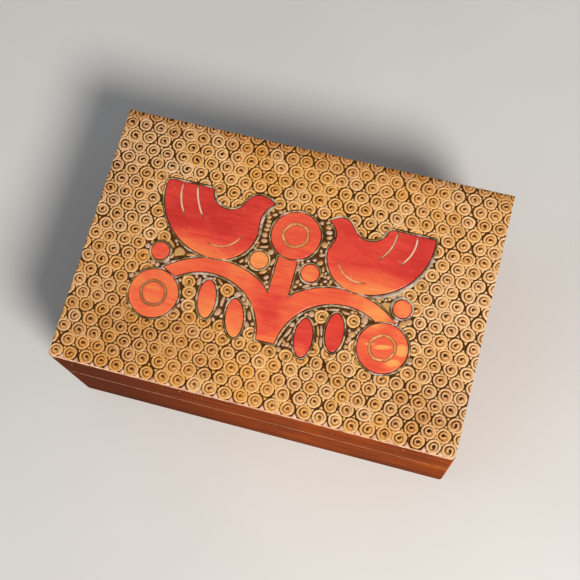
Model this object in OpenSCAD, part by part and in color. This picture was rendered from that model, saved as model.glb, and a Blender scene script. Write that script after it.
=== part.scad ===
// A hinged wooden trinket box with a folk relief of two birds at a tree carved in its lid.
// Origin at the bottom centre, X along the long side, front towards -Y, millimetres.

/* [Box] */
// Outside width, left to right
box_w = 160; // [140:1:190]
// Outside depth, front to back
box_d = 107; // [90:1:130]
// Outside height with the lid shut
box_h = 63; // [56:1:80]
// Height of the saw cut that parts the lid from the body
seam_z = 36; // [28:0.5:42]
// Width of that saw cut
seam_gap = 0.3; // [0.2:0.05:0.6]
// Thickness of the side boards
wall_t = 8; // [7.5:0.5:11]
// Thickness of the top board
top_t = 7; // [5:0.5:9]
// Rounding of the four upright corners
corner_r = 1.5; // [0.5:0.1:2.4]

/* [Joinery] */
// Thickness of the tongues that lap over the ends of the side boards
lap_t = 3; // [2.5:0.25:5]
// Thickness of the plywood bottom
bottom_t = 4; // [3:0.5:6]
// Width of the rabbet that the bottom sits in
rabbet_w = 3.5; // [2:0.25:5]
// Gap round the edge of the bottom in its rabbet
bottom_fit = 0.1; // [0.05:0.05:0.3]

/* [Hinges] */
// Distance of each hinge from the middle of the box
hinge_x = 45; // [30:1:58]
// Length of a hinge
hinge_len = 20; // [16:1:30]
// Thickness of a hinge leaf
leaf_t = 0.9; // [0.7:0.1:1.2]
// Outer radius of the knuckles
knuckle_r = 1.6; // [1.4:0.1:1.8]
// Depth of the knuckles inside the back face
knuckle_set = 0.8; // [0.4:0.1:1.2]
// Gap between neighbouring knuckles
knuckle_gap = 0.2; // [0.1:0.05:0.4]
// Clearance of the wood round the knuckles
knuckle_clear = 0.25; // [0.15:0.05:0.4]
// Radius of the hinge pin
pin_r = 0.7; // [0.5:0.05:0.8]
// Running clearance round the pin
pin_clear = 0.05; // [0.02:0.01:0.1]
// Wood left between a leaf and the inside of the box
leaf_lip = 1; // [0.5:0.1:1.4]
// Clearance round a leaf in its mortise
leaf_fit = 0.1; // [0.05:0.05:0.2]
// Slope of the bevels that stop the open lid
bevel_angle = 55; // [45:1:60]

/* [Screws] */
// Radius of a screw head
head_r = 1.15; // [1:0.05:1.25]
// Radius of a screw shank
shank_r = 0.7; // [0.5:0.05:0.8]
// Length of a screw
screw_len = 6; // [4:0.5:10]
// Length of a screw's point
point_len = 1.5; // [0.5:0.25:2.5]
// Width of the slot in a screw head
slot_w = 0.35; // [0.2:0.05:0.5]
// Depth of the slot in a screw head
slot_depth = 0.3; // [0.2:0.05:0.4]
// Distance between the two screws of a leaf
screw_pitch = 12; // [9:0.5:14]
// Clearance round a screw in its hole
screw_fit = 0.05; // [0.02:0.01:0.1]

/* [Carving] */
// Depth of the lowered ground round the motif
ground_depth = 0.75; // [0.4:0.05:1.5]
// Width of the cut lines and of the channels between neighbouring shapes
line_w = 0.7; // [0.4:0.1:1]
// Depth of the cut lines
line_depth = 0.4; // [0.2:0.05:0.6]
// Radius of the three round flowers
flower_r = 9.8; // [8:0.1:10.5]
// Radius of the ring cut in each flower
flower_ring_r = 4.9; // [3:0.1:6]
// Radius of the four loose dots
dot_r = 3.6; // [2.5:0.1:4]
// Length of a leaf in the relief
petal_l = 15.4; // [12:0.2:17]
// Width of a leaf in the relief
petal_w = 7; // [5:0.1:8]
// Radius of the birds' breasts
breast_r = 14.7; // [13:0.1:15.5]
// Radius of the right bird's tail and back
right_tail_r = 25.3; // [23:0.1:27]
// Radius of the left bird's tail and back
left_tail_r = 26.5; // [23:0.1:28]
// Radius of the right bird's head
right_head_r = 3.9; // [3.5:0.1:4.4]
// Radius of the left bird's head
left_head_r = 4.2; // [3.5:0.1:4.6]
// Radius of the hollow in the right bird's back
right_hollow_r = 7.2; // [6.5:0.1:8]
// Radius of the hollow in the left bird's back
left_hollow_r = 7.4; // [6.5:0.1:8]
// Half the width of the tree's foot
foot_half = 3.6; // [2.5:0.1:5]
// Half the width of the tree's stem
stem_half = 3.9; // [3:0.1:5]

/* [Swirls] */
// Radius of a punched swirl
swirl_r = 2.7; // [2.3:0.1:2.8]
// Distance between the swirls of a row
swirl_step = 6.2; // [6:0.1:9]
// Distance between two rows of swirls
swirl_row = 4.93; // [4.9:0.01:7]
// Depth of the swirls' tops below the motif
swirl_drop = 0.1; // [0.05:0.05:0.3]
// Width of the ridge outside a swirl's spiral groove
ridge_w = 0.7; // [0.5:0.05:0.8]
// Width of the spiral groove in a swirl
groove_w = 0.5; // [0.3:0.05:0.6]
// Depth of the spiral groove in a swirl
groove_depth = 0.4; // [0.2:0.05:0.6]
// Ground left clear of swirls round the motif
motif_room = 1.1; // [0.8:0.1:2]

/* [Hidden] */
$fn = 64;
// Overlap that fuses a raised shape to its ground, and the overrun of cutters
join = 0.2;
over = 1;
half_gap = seam_gap / 2;
body_top = seam_z - half_gap;
rail_base = seam_z + half_gap;
rail_top = box_h - top_t;
bore_r = pin_r + pin_clear;
relief_r = knuckle_r + knuckle_clear;
pin_y = box_d / 2 - knuckle_set - knuckle_r;
// Leaf sizes measured from the pin's axis towards the front
leaf_w = wall_t - knuckle_set - knuckle_r - leaf_lip;
screw_y = (leaf_w + relief_r) / 2;
knuckle_len = (hinge_len - 2 * knuckle_gap) / 3;
knuckle_step = knuckle_len + knuckle_gap;
cone_len = head_r - shank_r;
// Radii of the two half turns of a swirl's groove
outer_turn_r = swirl_r - ridge_w - groove_w / 2;
inner_turn_r = outer_turn_r - (ridge_w + groove_w) / 2;

// Places in the relief, in plan
centre_flower = [0.6, 16.8];
end_flowers = [[-47.4, -19.5], [44.1, -18.9]];
flowers = concat([centre_flower], end_flowers);
dots = [[-49.8, -2.2], [-10.9, 3.6], [9.9, 3.2], [47.9, -2.1]];
petals = [[-26.4, -16.6], [-13.9, -21.4], [13.9, -22.4], [25, -17.5]];
petal_lean = [8, 13, 5, 5];
// How much more pointed than an ellipse a leaf is
petal_point = 1.25;
belly = [29, -0.2];
wing_y = 28.1;
// Where the outline of a bird's head leaves its beak
brow_turn = 122;
// The right bird, and the left one mirrored to its side
right_throat = [15.9, 19.2];
right_beak = [[14.1, 24], [10.9, 26.3]];
right_head = [17.3, 24.7];
right_hollow = [28.7, 28.6];
left_throat = [15.1, 20.4];
left_beak = [[14, 24.3], [10.9, 27.6]];
left_head = [17.5, 25.4];
left_hollow = [28.9, 28];
// Lines cut in a wing: the centre and radius of each and the turn where it ends
right_wing_lines = [[23.4, 26, 15.7, -46], [33, 25, 14.3, -47]];
left_wing_lines = [[13, 34.3, 30.8, -39], [29.2, 26.9, 19.8, -39]];
// How far those lines run over the wing's upper edge
wing_line_over = 0.5;
// The line cut in a breast: its radius and the turns where it ends
right_breast_line = [10.5, -160, -74];
left_breast_line = [9.5, -163, -66];
// The right half of the tree: its lower and upper edges are arcs
bough_under_r = 23.3;
bough_under_y = -29.3;
bough_under_end = 52;
bough_over = [25, -32.4];
bough_over_r = 32.35;
bough_end_x = 46.5;
fork = [6.2, -8.9];
foot_y = -27.5;
stem_y = 7;
// The first swirl's place, from the left front corner of the lid
first_swirl = [2.3, 3.15];
// Swirls set singly between the leaves, and how near to them a row's swirl may come
single_swirls = [[-33.6, -15.9], [-32.3, -21.4], [-19.7, -11.2], [18.4, -12.5], [31.2, -11.2]];
single_room = 4.7;
// Least width of a gap in the motif that is punched with swirls
swirl_gap = 5.8;
// Where a swirl's groove begins
groove_turn = 200;

WALNUT_RED = [0.55, 0.24, 0.1];
CARVED = [0.78, 0.58, 0.34];
PLY = [0.85, 0.72, 0.5];
BRASS = [0.8, 0.65, 0.3];
STEEL = [0.7, 0.7, 0.68];

function arc(x, y, r, from, to, steps = 16) =
    [for (i = [0:steps]) let (a = from + (to - from) * i / steps) [x + r * cos(a), y + r * sin(a)]];

function reversed(loop) = [for (i = [len(loop) - 1:-1:0]) loop[i]];
function mirrored(loop) = [for (p = loop) [-p[0], p[1]]];

// An anticlockwise loop moved outwards by a margin, with its corners kept
function outward(a, b) = let (d = (b - a) / norm(b - a)) [d[1], -d[0]];
function grown(loop, margin) =
    let (n = len(loop))
    [for (i = [0:n - 1])
        let (
            before = outward(loop[(i + n - 1) % n], loop[i]),
            after = outward(loop[i], loop[(i + 1) % n])
        )
        loop[i] + (before + after) * margin / max(1 + before * after, 0.5)];

// Distance from a point to a loop, negative inside it
function side_gap(p, a, b) =
    let (d = b - a, t = max(0, min(1, (p - a) * d / (d * d)))) norm(p - a - t * d);
function crosses(p, a, b) =
    (a[1] > p[1]) != (b[1] > p[1]) && p[0] < a[0] + (b[0] - a[0]) * (p[1] - a[1]) / (b[1] - a[1]);
function loop_gap(p, loop) =
    let (
        n = len(loop),
        gap = min([for (i = [0:n - 1]) side_gap(p, loop[i], loop[(i + 1) % n])]),
        hits = [for (i = [0:n - 1]) if (crosses(p, loop[i], loop[(i + 1) % n])) i]
    )
    len(hits) % 2 == 1 ? -gap : gap;

// Plan of the box, and of the boards it is glued up from

module outline() {
    square([box_w - 2 * corner_r, box_d], center = true);
    square([box_w, box_d - 2 * corner_r], center = true);
    for (x = [-1, 1], y = [-1, 1])
        translate([x * (box_w / 2 - corner_r), y * (box_d / 2 - corner_r)]) circle(corner_r);
}

// The front board: a tongue at each end laps over an end board
module long_board() {
    intersection() {
        outline();
        union() {
            translate([-box_w / 2, -box_d / 2]) square([box_w, lap_t]);
            translate([wall_t - box_w / 2, -box_d / 2]) square([box_w - 2 * wall_t, wall_t]);
        }
    }
}

// The left board, between the tongues of the long boards
module end_board() {
    translate([-box_w / 2, lap_t - box_d / 2]) square([wall_t, box_d - 2 * lap_t]);
}

module bottom_plate(clear) {
    inset = wall_t - rabbet_w + clear;
    translate([inset - box_w / 2, inset - box_d / 2, 0])
        cube([box_w - 2 * inset, box_d - 2 * inset, bottom_t]);
}

// A side of the body, from its plan
module body_side() {
    difference() {
        linear_extrude(body_top) children();
        translate([0, 0, -over]) bottom_plate(0);
        bottom_plate(0);
    }
}

// A side of the lid, from its plan
module lid_side() {
    translate([0, 0, rail_base]) linear_extrude(rail_top - rail_base) children();
}

// Hinges, drawn about the pin's axis with the body below and the lid above

module body_half() {
    translate([0, pin_y, seam_z]) children();
}

module lid_half() {
    translate([0, pin_y, seam_z]) mirror([0, 0, 1]) children();
}

// A profile in Y and Z, drawn along the pin's axis
module along_x(length) {
    rotate([90, 0, 90]) linear_extrude(length, center = true) children();
}

// What is cut from the back of the body: the stop bevel and both hinges' mortises
module back_edge_cuts() {
    reach = box_d / 2 - pin_y + over;
    fall = reach * tan(bevel_angle);
    along_x(box_w + 2 * over)
        polygon([[0, -half_gap], [reach, -half_gap], [reach, -half_gap - fall]]);
    for (side = [-1, 1]) translate([side * hinge_x, 0, 0]) hinge_mortise();
}

module hinge_mortise() {
    length = hinge_len + 2 * leaf_fit;
    along_x(length) circle(relief_r);
    translate([-length / 2, -leaf_w - leaf_fit, -half_gap - leaf_t])
        cube([length, leaf_w + leaf_fit, leaf_t + over]);
    leaf_screws(screw_fit);
}

// A leaf below the seam, with knuckles at the given thirds of its length
module leaf(thirds, plate_len) {
    difference() {
        union() {
            translate([-plate_len / 2, -leaf_w, -half_gap - leaf_t])
                cube([plate_len, leaf_w - relief_r, leaf_t]);
            for (third = thirds) translate([third * knuckle_step, 0, 0]) along_x(knuckle_len) knuckle();
        }
        leaf_screws(screw_fit);
    }
}

// Section of a leaf through a knuckle
module knuckle() {
    difference() {
        union() {
            circle(knuckle_r);
            translate([-leaf_w, -half_gap - leaf_t]) square([leaf_w, leaf_t]);
        }
        circle(bore_r);
    }
}

// The two countersunk screws of a leaf, or their holes when grown by a clearance
module leaf_screws(clear = 0) {
    for (side = [-1, 1]) translate([side * screw_pitch / 2, -screw_y, -half_gap]) screw(clear);
}

module screw(clear) {
    lift = clear > 0 ? over : 0;
    rotate_extrude() polygon([
        [0, lift], [head_r + clear, lift], [head_r + clear, 0], [shank_r + clear, -cone_len],
        [shank_r + clear, point_len - screw_len], [0, -screw_len - clear]
    ]);
}

module slotted_screws() {
    for (side = [-1, 1]) translate([side * hinge_x, 0, 0]) difference() {
        leaf_screws();
        for (end = [-1, 1]) translate([end * screw_pitch / 2, -screw_y, -half_gap])
            cube([slot_w, 2 * head_r + over, 2 * slot_depth], center = true);
    }
}

module hinge_pin(side) {
    color(STEEL) translate([side * hinge_x, pin_y, seam_z]) along_x(hinge_len) circle(pin_r);
}

module body_leaf(side) {
    color(BRASS) body_half() translate([side * hinge_x, 0, 0]) leaf([-1, 1], hinge_len - knuckle_len);
}

module lid_leaf(side) {
    color(BRASS) lid_half() translate([side * hinge_x, 0, 0]) leaf([0], hinge_len);
}

// The relief in the lid, in plan

// The outline of a bird that faces the middle, on the right for side 1 and on the left for side -1
function bird(side, tail_r, throat, beak, head, head_r, hollow, hollow_r) =
    let (
        tail_y = belly[1] + tail_r,
        tip = asin((wing_y - tail_y) / tail_r),
        apart = hollow - head,
        nape = atan2(apart[1], apart[0]) + acos(min(1, (head_r + hollow_r) / norm(apart))),
        shoulder = 360 + asin((wing_y - hollow[1]) / hollow_r),
        points = concat(
            arc(belly[0], tail_y, tail_r, tip, -90, 24),
            arc(belly[0], belly[1] + breast_r, breast_r, -91, -178),
            [throat], beak,
            arc(head[0], head[1], head_r, brow_turn, nape, 8),
            arc(hollow[0], hollow[1], hollow_r, nape + 180, shoulder)
        )
    )
    side > 0 ? reversed(points) : mirrored(points);

right_bird =
    bird(1, right_tail_r, right_throat, right_beak, right_head, right_head_r, right_hollow, right_hollow_r);
left_bird =
    bird(-1, left_tail_r, left_throat, left_beak, left_head, left_head_r, left_hollow, left_hollow_r);

function half_tree() =
    let (
        rise = foot_y - bough_under_y,
        under_x = foot_half + sqrt(bough_under_r ^ 2 - rise ^ 2),
        foot_turn = 180 - asin(rise / bough_under_r),
        end_turn = acos((bough_end_x - bough_over[0]) / bough_over_r),
        fork_turn = acos((fork[0] - bough_over[0]) / bough_over_r)
    )
    concat(
        arc(under_x, bough_under_y, bough_under_r, foot_turn, bough_under_end, 24),
        arc(bough_over[0], bough_over[1], bough_over_r, end_turn, fork_turn, 24),
        [[stem_half, fork[1]], [stem_half, stem_y]]
    );

whole_tree = concat(half_tree(), mirrored(reversed(half_tree())));

// A pointed oval that stands on end and leans to the left
function petal(place, lean, steps = 28) =
    [for (i = [0:steps - 1])
        let (
            a = 360 * i / steps,
            x = sign(cos(a)) * abs(cos(a)) ^ petal_point * petal_w / 2,
            y = sin(a) * petal_l / 2
        )
        place + [x * cos(lean) - y * sin(lean), x * sin(lean) + y * cos(lean)]];

petal_loops = [for (i = [0:len(petals) - 1]) petal(petals[i], petal_lean[i])];

// A channel parts the tree from the birds and flowers that it touches
module tree() {
    difference() {
        polygon(whole_tree);
        for (bird = [right_bird, left_bird]) polygon(grown(bird, line_w));
        for (place = flowers) translate(place) circle(flower_r + line_w);
    }
}

// Every shape of the motif but the tree, grown by a margin
module loose_shapes(margin = 0) {
    for (loop = concat([right_bird, left_bird], petal_loops)) polygon(grown(loop, margin));
    for (place = flowers) translate(place) circle(flower_r + margin);
    for (place = dots) translate(place) circle(dot_r + margin);
}

module motif() {
    tree();
    loose_shapes();
}

// The punched swirls round the motif, in plan

// Distances from a place on the lid to every shape of the motif
function motif_gaps(place) = concat(
    [for (loop = concat([right_bird, left_bird, whole_tree], petal_loops)) loop_gap(place, loop)],
    [for (flower = flowers) norm(place - flower) - flower_r],
    [for (dot = dots) norm(place - dot) - dot_r]
);

// Staggered rows from the front edge to the back
function swirl_rows() =
    [for (row = [0:floor((box_d - first_swirl[1]) / swirl_row)], column = [0:floor(box_w / swirl_step)])
        let (
            along = first_swirl[0] + (column + row % 2 / 2) * swirl_step,
            place = [along - box_w / 2, first_swirl[1] + row * swirl_row - box_d / 2]
        )
        if (along < box_w && min([for (single = single_swirls) norm(place - single)]) > single_room) place];

// Places for swirls outside the motif and its narrow gaps, each with its distance from the motif
function swirl_places() =
    [for (place = concat(swirl_rows(), single_swirls))
        let (
            gaps = motif_gaps(place),
            nearest = min(gaps),
            second = min([for (gap = gaps) if (gap > nearest) gap])
        )
        if (nearest > 0 && nearest + second > swirl_gap) [place, nearest]];

module swirl_tops(places) {
    whole_from = swirl_r + motif_room;
    intersection() {
        outline();
        for (place = places) if (place[1] > whole_from) translate(place[0]) circle(swirl_r);
    }
    difference() {
        for (place = places) if (place[1] <= whole_from) translate(place[0]) circle(swirl_r);
        loose_shapes(motif_room);
        polygon(grown(whole_tree, motif_room));
    }
}

module swirl_grooves(places) {
    for (place = places) translate(place[0]) rotate(groove_turn) {
        cut_line(0, 0, outer_turn_r, 0, 180, groove_w, groove_depth);
        cut_line(inner_turn_r - outer_turn_r, 0, inner_turn_r, 180, 360, groove_w, groove_depth);
    }
}

// A cut line along an arc, open to the top face
module cut_line(x, y, r, from, to, width = line_w, depth = line_depth) {
    translate([x, y, 0]) rotate([0, 0, from]) rotate_extrude(angle = to - from, $fn = 128)
        translate([r - width / 2, -depth]) square([width, depth + over]);
}

module bird_lines(wing_lines, breast_line) {
    for (line = wing_lines)
        cut_line(line[0], line[1], line[2], line[3], asin((wing_y + wing_line_over - line[1]) / line[2]));
    cut_line(belly[0], belly[1] + breast_r, breast_line[0], breast_line[1], breast_line[2]);
}

module cut_lines() {
    for (place = flowers) cut_line(place[0], place[1], flower_ring_r, 0, 360);
    bird_lines(right_wing_lines, right_breast_line);
    mirror([1, 0, 0]) bird_lines(left_wing_lines, left_breast_line);
}

// Body

module body_front_wall() {
    color(WALNUT_RED) body_side() long_board();
}

module body_back_wall() {
    color(WALNUT_RED) difference() {
        body_side() mirror([0, 1]) long_board();
        body_half() back_edge_cuts();
    }
}

module body_end_wall(turn) {
    color(WALNUT_RED) difference() {
        body_side() mirror([turn, 0]) end_board();
        body_half() back_edge_cuts();
    }
}

module body_left_wall() {
    body_end_wall(0);
}

module body_right_wall() {
    body_end_wall(1);
}

module bottom_panel() {
    color(PLY) bottom_plate(bottom_fit);
}

// Lid

module lid_top_panel() {
    ground_z = box_h - ground_depth;
    places = swirl_places();
    color(CARVED) difference() {
        union() {
            translate([0, 0, rail_top]) linear_extrude(ground_z - rail_top) outline();
            translate([0, 0, ground_z - join]) linear_extrude(ground_depth + join) motif();
            translate([0, 0, ground_z - join])
                linear_extrude(ground_depth + join - swirl_drop) swirl_tops(places);
        }
        translate([0, 0, box_h]) cut_lines();
        translate([0, 0, box_h - swirl_drop]) swirl_grooves(places);
    }
}

module lid_front_rail() {
    color(WALNUT_RED) lid_side() long_board();
}

module lid_back_rail() {
    color(WALNUT_RED) difference() {
        lid_side() mirror([0, 1]) long_board();
        lid_half() back_edge_cuts();
    }
}

module lid_end_rail(turn) {
    color(WALNUT_RED) difference() {
        lid_side() mirror([turn, 0]) end_board();
        lid_half() back_edge_cuts();
    }
}

module lid_left_rail() {
    lid_end_rail(0);
}

module lid_right_rail() {
    lid_end_rail(1);
}

// Hinges and their screws

module left_hinge_body_leaf() {
    body_leaf(-1);
}

module left_hinge_lid_leaf() {
    lid_leaf(-1);
}

module left_hinge_pin() {
    hinge_pin(-1);
}

module right_hinge_body_leaf() {
    body_leaf(1);
}

module right_hinge_lid_leaf() {
    lid_leaf(1);
}

module right_hinge_pin() {
    hinge_pin(1);
}

module body_hinge_screws() {
    color(BRASS) body_half() slotted_screws();
}

module lid_hinge_screws() {
    color(BRASS) lid_half() slotted_screws();
}

body_front_wall();
body_back_wall();
body_left_wall();
body_right_wall();
bottom_panel();
lid_top_panel();
lid_front_rail();
lid_back_rail();
lid_left_rail();
lid_right_rail();
left_hinge_body_leaf();
left_hinge_lid_leaf();
left_hinge_pin();
right_hinge_body_leaf();
right_hinge_lid_leaf();
right_hinge_pin();
body_hinge_screws();
lid_hinge_screws();
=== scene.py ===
import math
import random
from contextlib import contextmanager

import bmesh
import bpy
from mathutils import Matrix, Vector
from mathutils.kdtree import KDTree


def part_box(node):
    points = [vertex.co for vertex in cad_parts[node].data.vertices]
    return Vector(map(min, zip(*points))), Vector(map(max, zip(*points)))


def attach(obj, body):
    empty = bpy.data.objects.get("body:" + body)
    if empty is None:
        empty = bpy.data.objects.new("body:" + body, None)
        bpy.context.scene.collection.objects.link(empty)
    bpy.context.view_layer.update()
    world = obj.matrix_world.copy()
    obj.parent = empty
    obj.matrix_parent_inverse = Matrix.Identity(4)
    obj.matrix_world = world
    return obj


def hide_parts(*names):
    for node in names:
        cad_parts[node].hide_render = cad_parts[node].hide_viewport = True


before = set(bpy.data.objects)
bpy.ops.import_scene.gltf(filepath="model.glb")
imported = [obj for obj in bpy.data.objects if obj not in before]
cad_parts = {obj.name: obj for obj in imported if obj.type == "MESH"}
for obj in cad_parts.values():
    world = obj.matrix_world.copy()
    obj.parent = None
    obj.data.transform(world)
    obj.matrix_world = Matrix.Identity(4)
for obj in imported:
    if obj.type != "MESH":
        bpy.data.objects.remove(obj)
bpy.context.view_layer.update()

# A hinged wooden trinket box: red-brown stained sides, and a lid carved with two birds at a
# tree and punched all over with swirls. Metres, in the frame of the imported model.

MM = 0.001

# Sizes read from the frame
PANEL_LOW, PANEL_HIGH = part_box("lid_top_panel")
TOP_Z = PANEL_HIGH.z
BOARD_Z = PANEL_LOW.z
HALF_W = PANEL_HIGH.x
HALF_D = PANEL_HIGH.y
INSIDE_W = -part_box("body_left_wall")[1].x
INSIDE_D = -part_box("body_front_wall")[1].y
SEAM_Z = (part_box("body_front_wall")[1].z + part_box("lid_front_rail")[0].z) / 2
BOTTOM_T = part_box("bottom_panel")[1].z

# Heights of the carving
GROUND_Z = TOP_Z - 0.75 * MM
SWIRL_TOP_Z = TOP_Z - 0.12 * MM
BURIED_Z = GROUND_Z - 0.25 * MM

# The lid in plan, in millimetres: half its sides, its corners, the gap beside the carving, the front rim
LID_X = HALF_W / MM
LID_Y = HALF_D / MM
CORNER_R = 1.5
EDGE_GAP = 0.02
RIM_W = 0.55

# Care for meshes: the least step of an outline, slivers to remove, and tips where bevels narrow
LEAST_STEP = 0.04
SLIVER = 0.002 * MM
SHARP_TURN = -0.1
TIP_REACH = 2.0

# Plan of the relief, in millimetres: the birds, the tree, flowers, dots and leaves
BELLY = (29.0, -0.2)
BREAST_R = 14.7
WING_Y = 28.1
BIRDS = [
    {"side": 1, "tail_r": 25.3, "throat": (16.6, 19.9), "beak": [(15.1, 23.7), (12.2, 26.2)],
     "brow": [], "crown": 121, "head": (17.1, 23.6, 4.8), "hollow": (28.7, 28.6, 7.2),
     "breast_line": (10.5, -160, -74), "wing_lines": [(23.4, 26.0, 15.7, -46), (33.0, 25.0, 14.3, -47)],
     "tip_ease": 0.8, "shoulder_ease": 1.9},
    {"side": -1, "tail_r": 26.5, "throat": (15.2, 20.6), "beak": [(13.6, 24.9), (11.1, 27.7)],
     "brow": [(13.1, 28.95)], "crown": 104, "head": (17.0, 24.7, 5.1), "hollow": (29.0, 28.2, 7.3),
     "breast_line": (9.5, -163, -66), "wing_lines": [(13.0, 34.3, 30.8, -39), (29.2, 26.9, 19.8, -39)],
     "tip_ease": 2.0, "shoulder_ease": 0.8},
]
BOUGH_UNDER = (26.83, -29.3, 23.3)
BOUGH_OVER = (25.0, -32.4, 32.35)
BOUGH_END_X = 46.5
FOOT_Y = -27.5
STEM_HALF = 3.9
STEM_Y = 7.0
FORK_X = 6.2
FORK_Y = -8.9
FLOWERS = [(0.6, 16.8), (-47.4, -19.5), (44.1, -18.9)]
FLOWER_R = 9.8
FLOWER_RING_R = 4.9
FLOWER_RING_W = 1.3
FLOWER_RING_DEEP = 0.3
DOTS = [(-49.8, -2.2), (-10.9, 3.6), (9.9, 3.2), (47.9, -2.1)]
DOT_R = 3.6
LEAVES = [(-26.4, -16.6, 8.0), (-13.9, -21.4, 13.0), (13.9, -22.4, 5.0), (25.0, -17.5, 5.0)]
LEAF_L = 15.4
LEAF_W = 7.0
LEAF_SIDES = 36
CHANNEL_W = 0.7

# The cut lines in the birds, and the lip round every shape
LINE_STEPS = 12
WING_LINE_W = 1.12
BREAST_LINE_W = 1.0
LINE_DEEP = 0.38
LIP_OUT = 0.55
LIP_W = 0.82
LIP_HIGH = 0.6
LIP_STEP = 0.5
LIP_SIDES = 6

# Where the motif's stain is more orange or more red: x, y, reach, change
STAIN_AREAS = [(-2, -12, 8, -0.2), (0, -20, 6, -0.2), (-16, -4, 7, 0.15), (39, -7, 7, 0.36),
               (31, -3, 5, 0.16), (44, -11, 4, -0.16), (42, -25, 5, -0.16), (9.9, 3.2, 4, 0.18),
               (47.9, -2.1, 4, 0.28), (13.6, -28.5, 4, 0.3), (0.6, 9, 4, 0.14), (-41, -6.5, 4, 0.05)]

# Painted reflections in the right flower, as pale streaks: x, y, and half their length and width
PAINTED_REFLECTIONS = [(44.2, -18.6, 4.4, 1.1), (51.4, -18.2, 3.2, 2.8), (39.0, -18.6, 2.4, 0.6),
                (49.4, -23.6, 3.4, 1.8)]
REFLECTION_TURN = math.radians(15)

# How far the stain runs from deep red, at 0, to orange, at 1: middle, reach and warmth of single shapes
WARM_SHAPES = [(DOTS[0], DOT_R + 1, 0.5), (DOTS[1], DOT_R + 1, 0.95),
               (FLOWERS[0], FLOWER_R + 1, 0.48), (FLOWERS[1], FLOWER_R + 1, 0.74)]

# The spans in x where each leaf has a warmth of its own, that of the right leaves and of all else
LEAF_SPANS = [(-31, -20), (-20, -9), (9, 19.5), (19.5, 30)]
RIGHT_LEAF_WARMTH = 0.26
WARMTH = 0.6

# Stands for the warmth of the birds, which the shader works out
ON_BIRD = -2.0

# Where the lip round the motif is broad: x, y, reach, share added to its width
BROAD_LIPS = [(55.2, 19.0, 5, 0.8), (53.0, 13.0, 5, 1.2), (48.5, 7.0, 5, 1.5), (42.9, 2.6, 4.5, 1.6),
              (37.6, 0.0, 3, 1.3), (-12.6, 25.4, 3.5, 0.9), (-14.2, 20.6, 3.5, 0.9), (-14.2, 15.0, 4, 0.5),
              (-13.6, 10.0, 5, 0.4), (-17.0, 4.8, 4, 0.4), (-35.4, 25.0, 4, 0.8), (-30.5, 21.4, 3.5, 0.6),
              (34.8, 26.4, 3, 0.9), (15.4, 29.0, 3.5, 0.6), (55.4, 25.4, 4, 0.4), (-40.5, 1.2, 4, 0.4),
              (-55.6, 17.0, 8, 0.3), (-45.0, 28.6, 7, -0.3), (44.0, 28.6, 6, -0.2), (21.0, 27.0, 3, 0.3),
              (-25.0, -8.0, 5, 0.35), (-16.2, -10.7, 4, 0.45), (-10.6, -13.6, 4, 0.5),
              (-7.2, -19.0, 4, 0.35), (5.8, -22.6, 3.5, 0.35), (9.8, -15.6, 4, 0.3), (14.8, -10.9, 4, 0.35),
              (-22.8, -14.3, 3, 0.3), (-60.0, -24.0, 5, 0.4), (54.5, -22.0, 6, 0.4), (8.0, 8.4, 3, 0.3),
              (-46.2, -5.2, 3, 1.1), (-43.0, -10.4, 4, -0.5), (40.5, -11.5, 4, -0.5), (-33.0, -9.0, 5, 0.5),
              (24.0, -8.0, 5, 0.3)]

# The punched swirls, in millimetres
SWIRL_R = 2.9
RIDGE_W = 1.3
RIDGE_TOP_W = 0.74
RING_MIDDLE_R = 2.4
CURL_R = 1.24
CURL_SHIFT = 0.12
WOBBLE = 1.0
RING_SIDES = 14
CURL_SIDES = 8
DEEP_SIDE = 150
TURN_SPREAD = 36
SWIRL_STEP = 6.2
SWIRL_ROW = 4.93
FIRST_ROW = 3.15
FIRST_COLUMN = 2.3
LIP_REACH = 1.1
NARROW_GAP = 5.8
SINGLE_ROOM = 4.7
SWIRL_SEED = 11
SLIP_X = 0.32
SLIP_Y = 0.28
PAST_EDGE = 2.4
PLACED_SWIRLS = [(-33.9, -16.0), (-32.5, -21.0), (-35.6, -11.6), (-19.7, -11.2), (18.4, -12.5),
                 (31.2, -11.2)]

# Places with beads and no swirls: x, y and half their width and depth
BEAD_ROOMS = [(0, -5.5, 9, 4.5), (-10.8, 17.0, 3.2, 8.2), (-42.4, 0.4, 3.6, 3.4), (6.0, -25.7, 2.0, 1.8)]

# The chips between the swirls, and those along the front edge
CHIP_FOOT_R = 1.05
CHIP_TOP_R = 0.66
CHIP_HIGH = 0.56
CHIP_ROOM = 0.9
FRONT_CHIP_TOP_R = 0.8
FRONT_CHIP_HIGH = 0.54
FRONT_CHIP_IN = 0.7
FRONT_CHIP_ROOM = 2.2

# Where the swirls are creamier or yellower, darkened by painted shade, and blurred: x, y, reach, change
TONE_AREAS = [(80, -10, 26, 0.5), (72, 14, 18, 0.4), (30, 45, 14, 0.3), (-80, 35, 24, 0.5),
              (70, -48, 30, 0.3), (10, 45, 34, -0.3), (-40, -46, 26, -0.3), (-25, -33, 14, 0.2)]
SHADE_AREAS = [(-80, 30, 26, 0.36), (-62, -34, 30, 0.46), (-24, -32, 14, 0.3), (24, -32, 12, 0.2),
               (68, -38, 16, 0.5), (-80, 56, 16, 0.1), (-50, -36, 12, 0.2), (50, -40, 14, 0.15)]
# Painted shade over the back rows, from this y to the back edge, at most this much
BACK_SHADE_Y = 46.0
BACK_SHADE = 0.7
WORN_AREAS = [(8, 50, 26, 0.5), (-30, -42, 20, 0.3), (4, -48, 14, 0.45), (40, 42, 16, 0.2),
              (-75, 30, 30, -0.9), (10, 30, 16, -0.6), (66, -12, 18, -0.25), (-48, 38, 14, -0.5),
              (70, -46, 14, -0.5), (30, 30, 12, -0.4), (-50, -36, 12, -0.4)]

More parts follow.
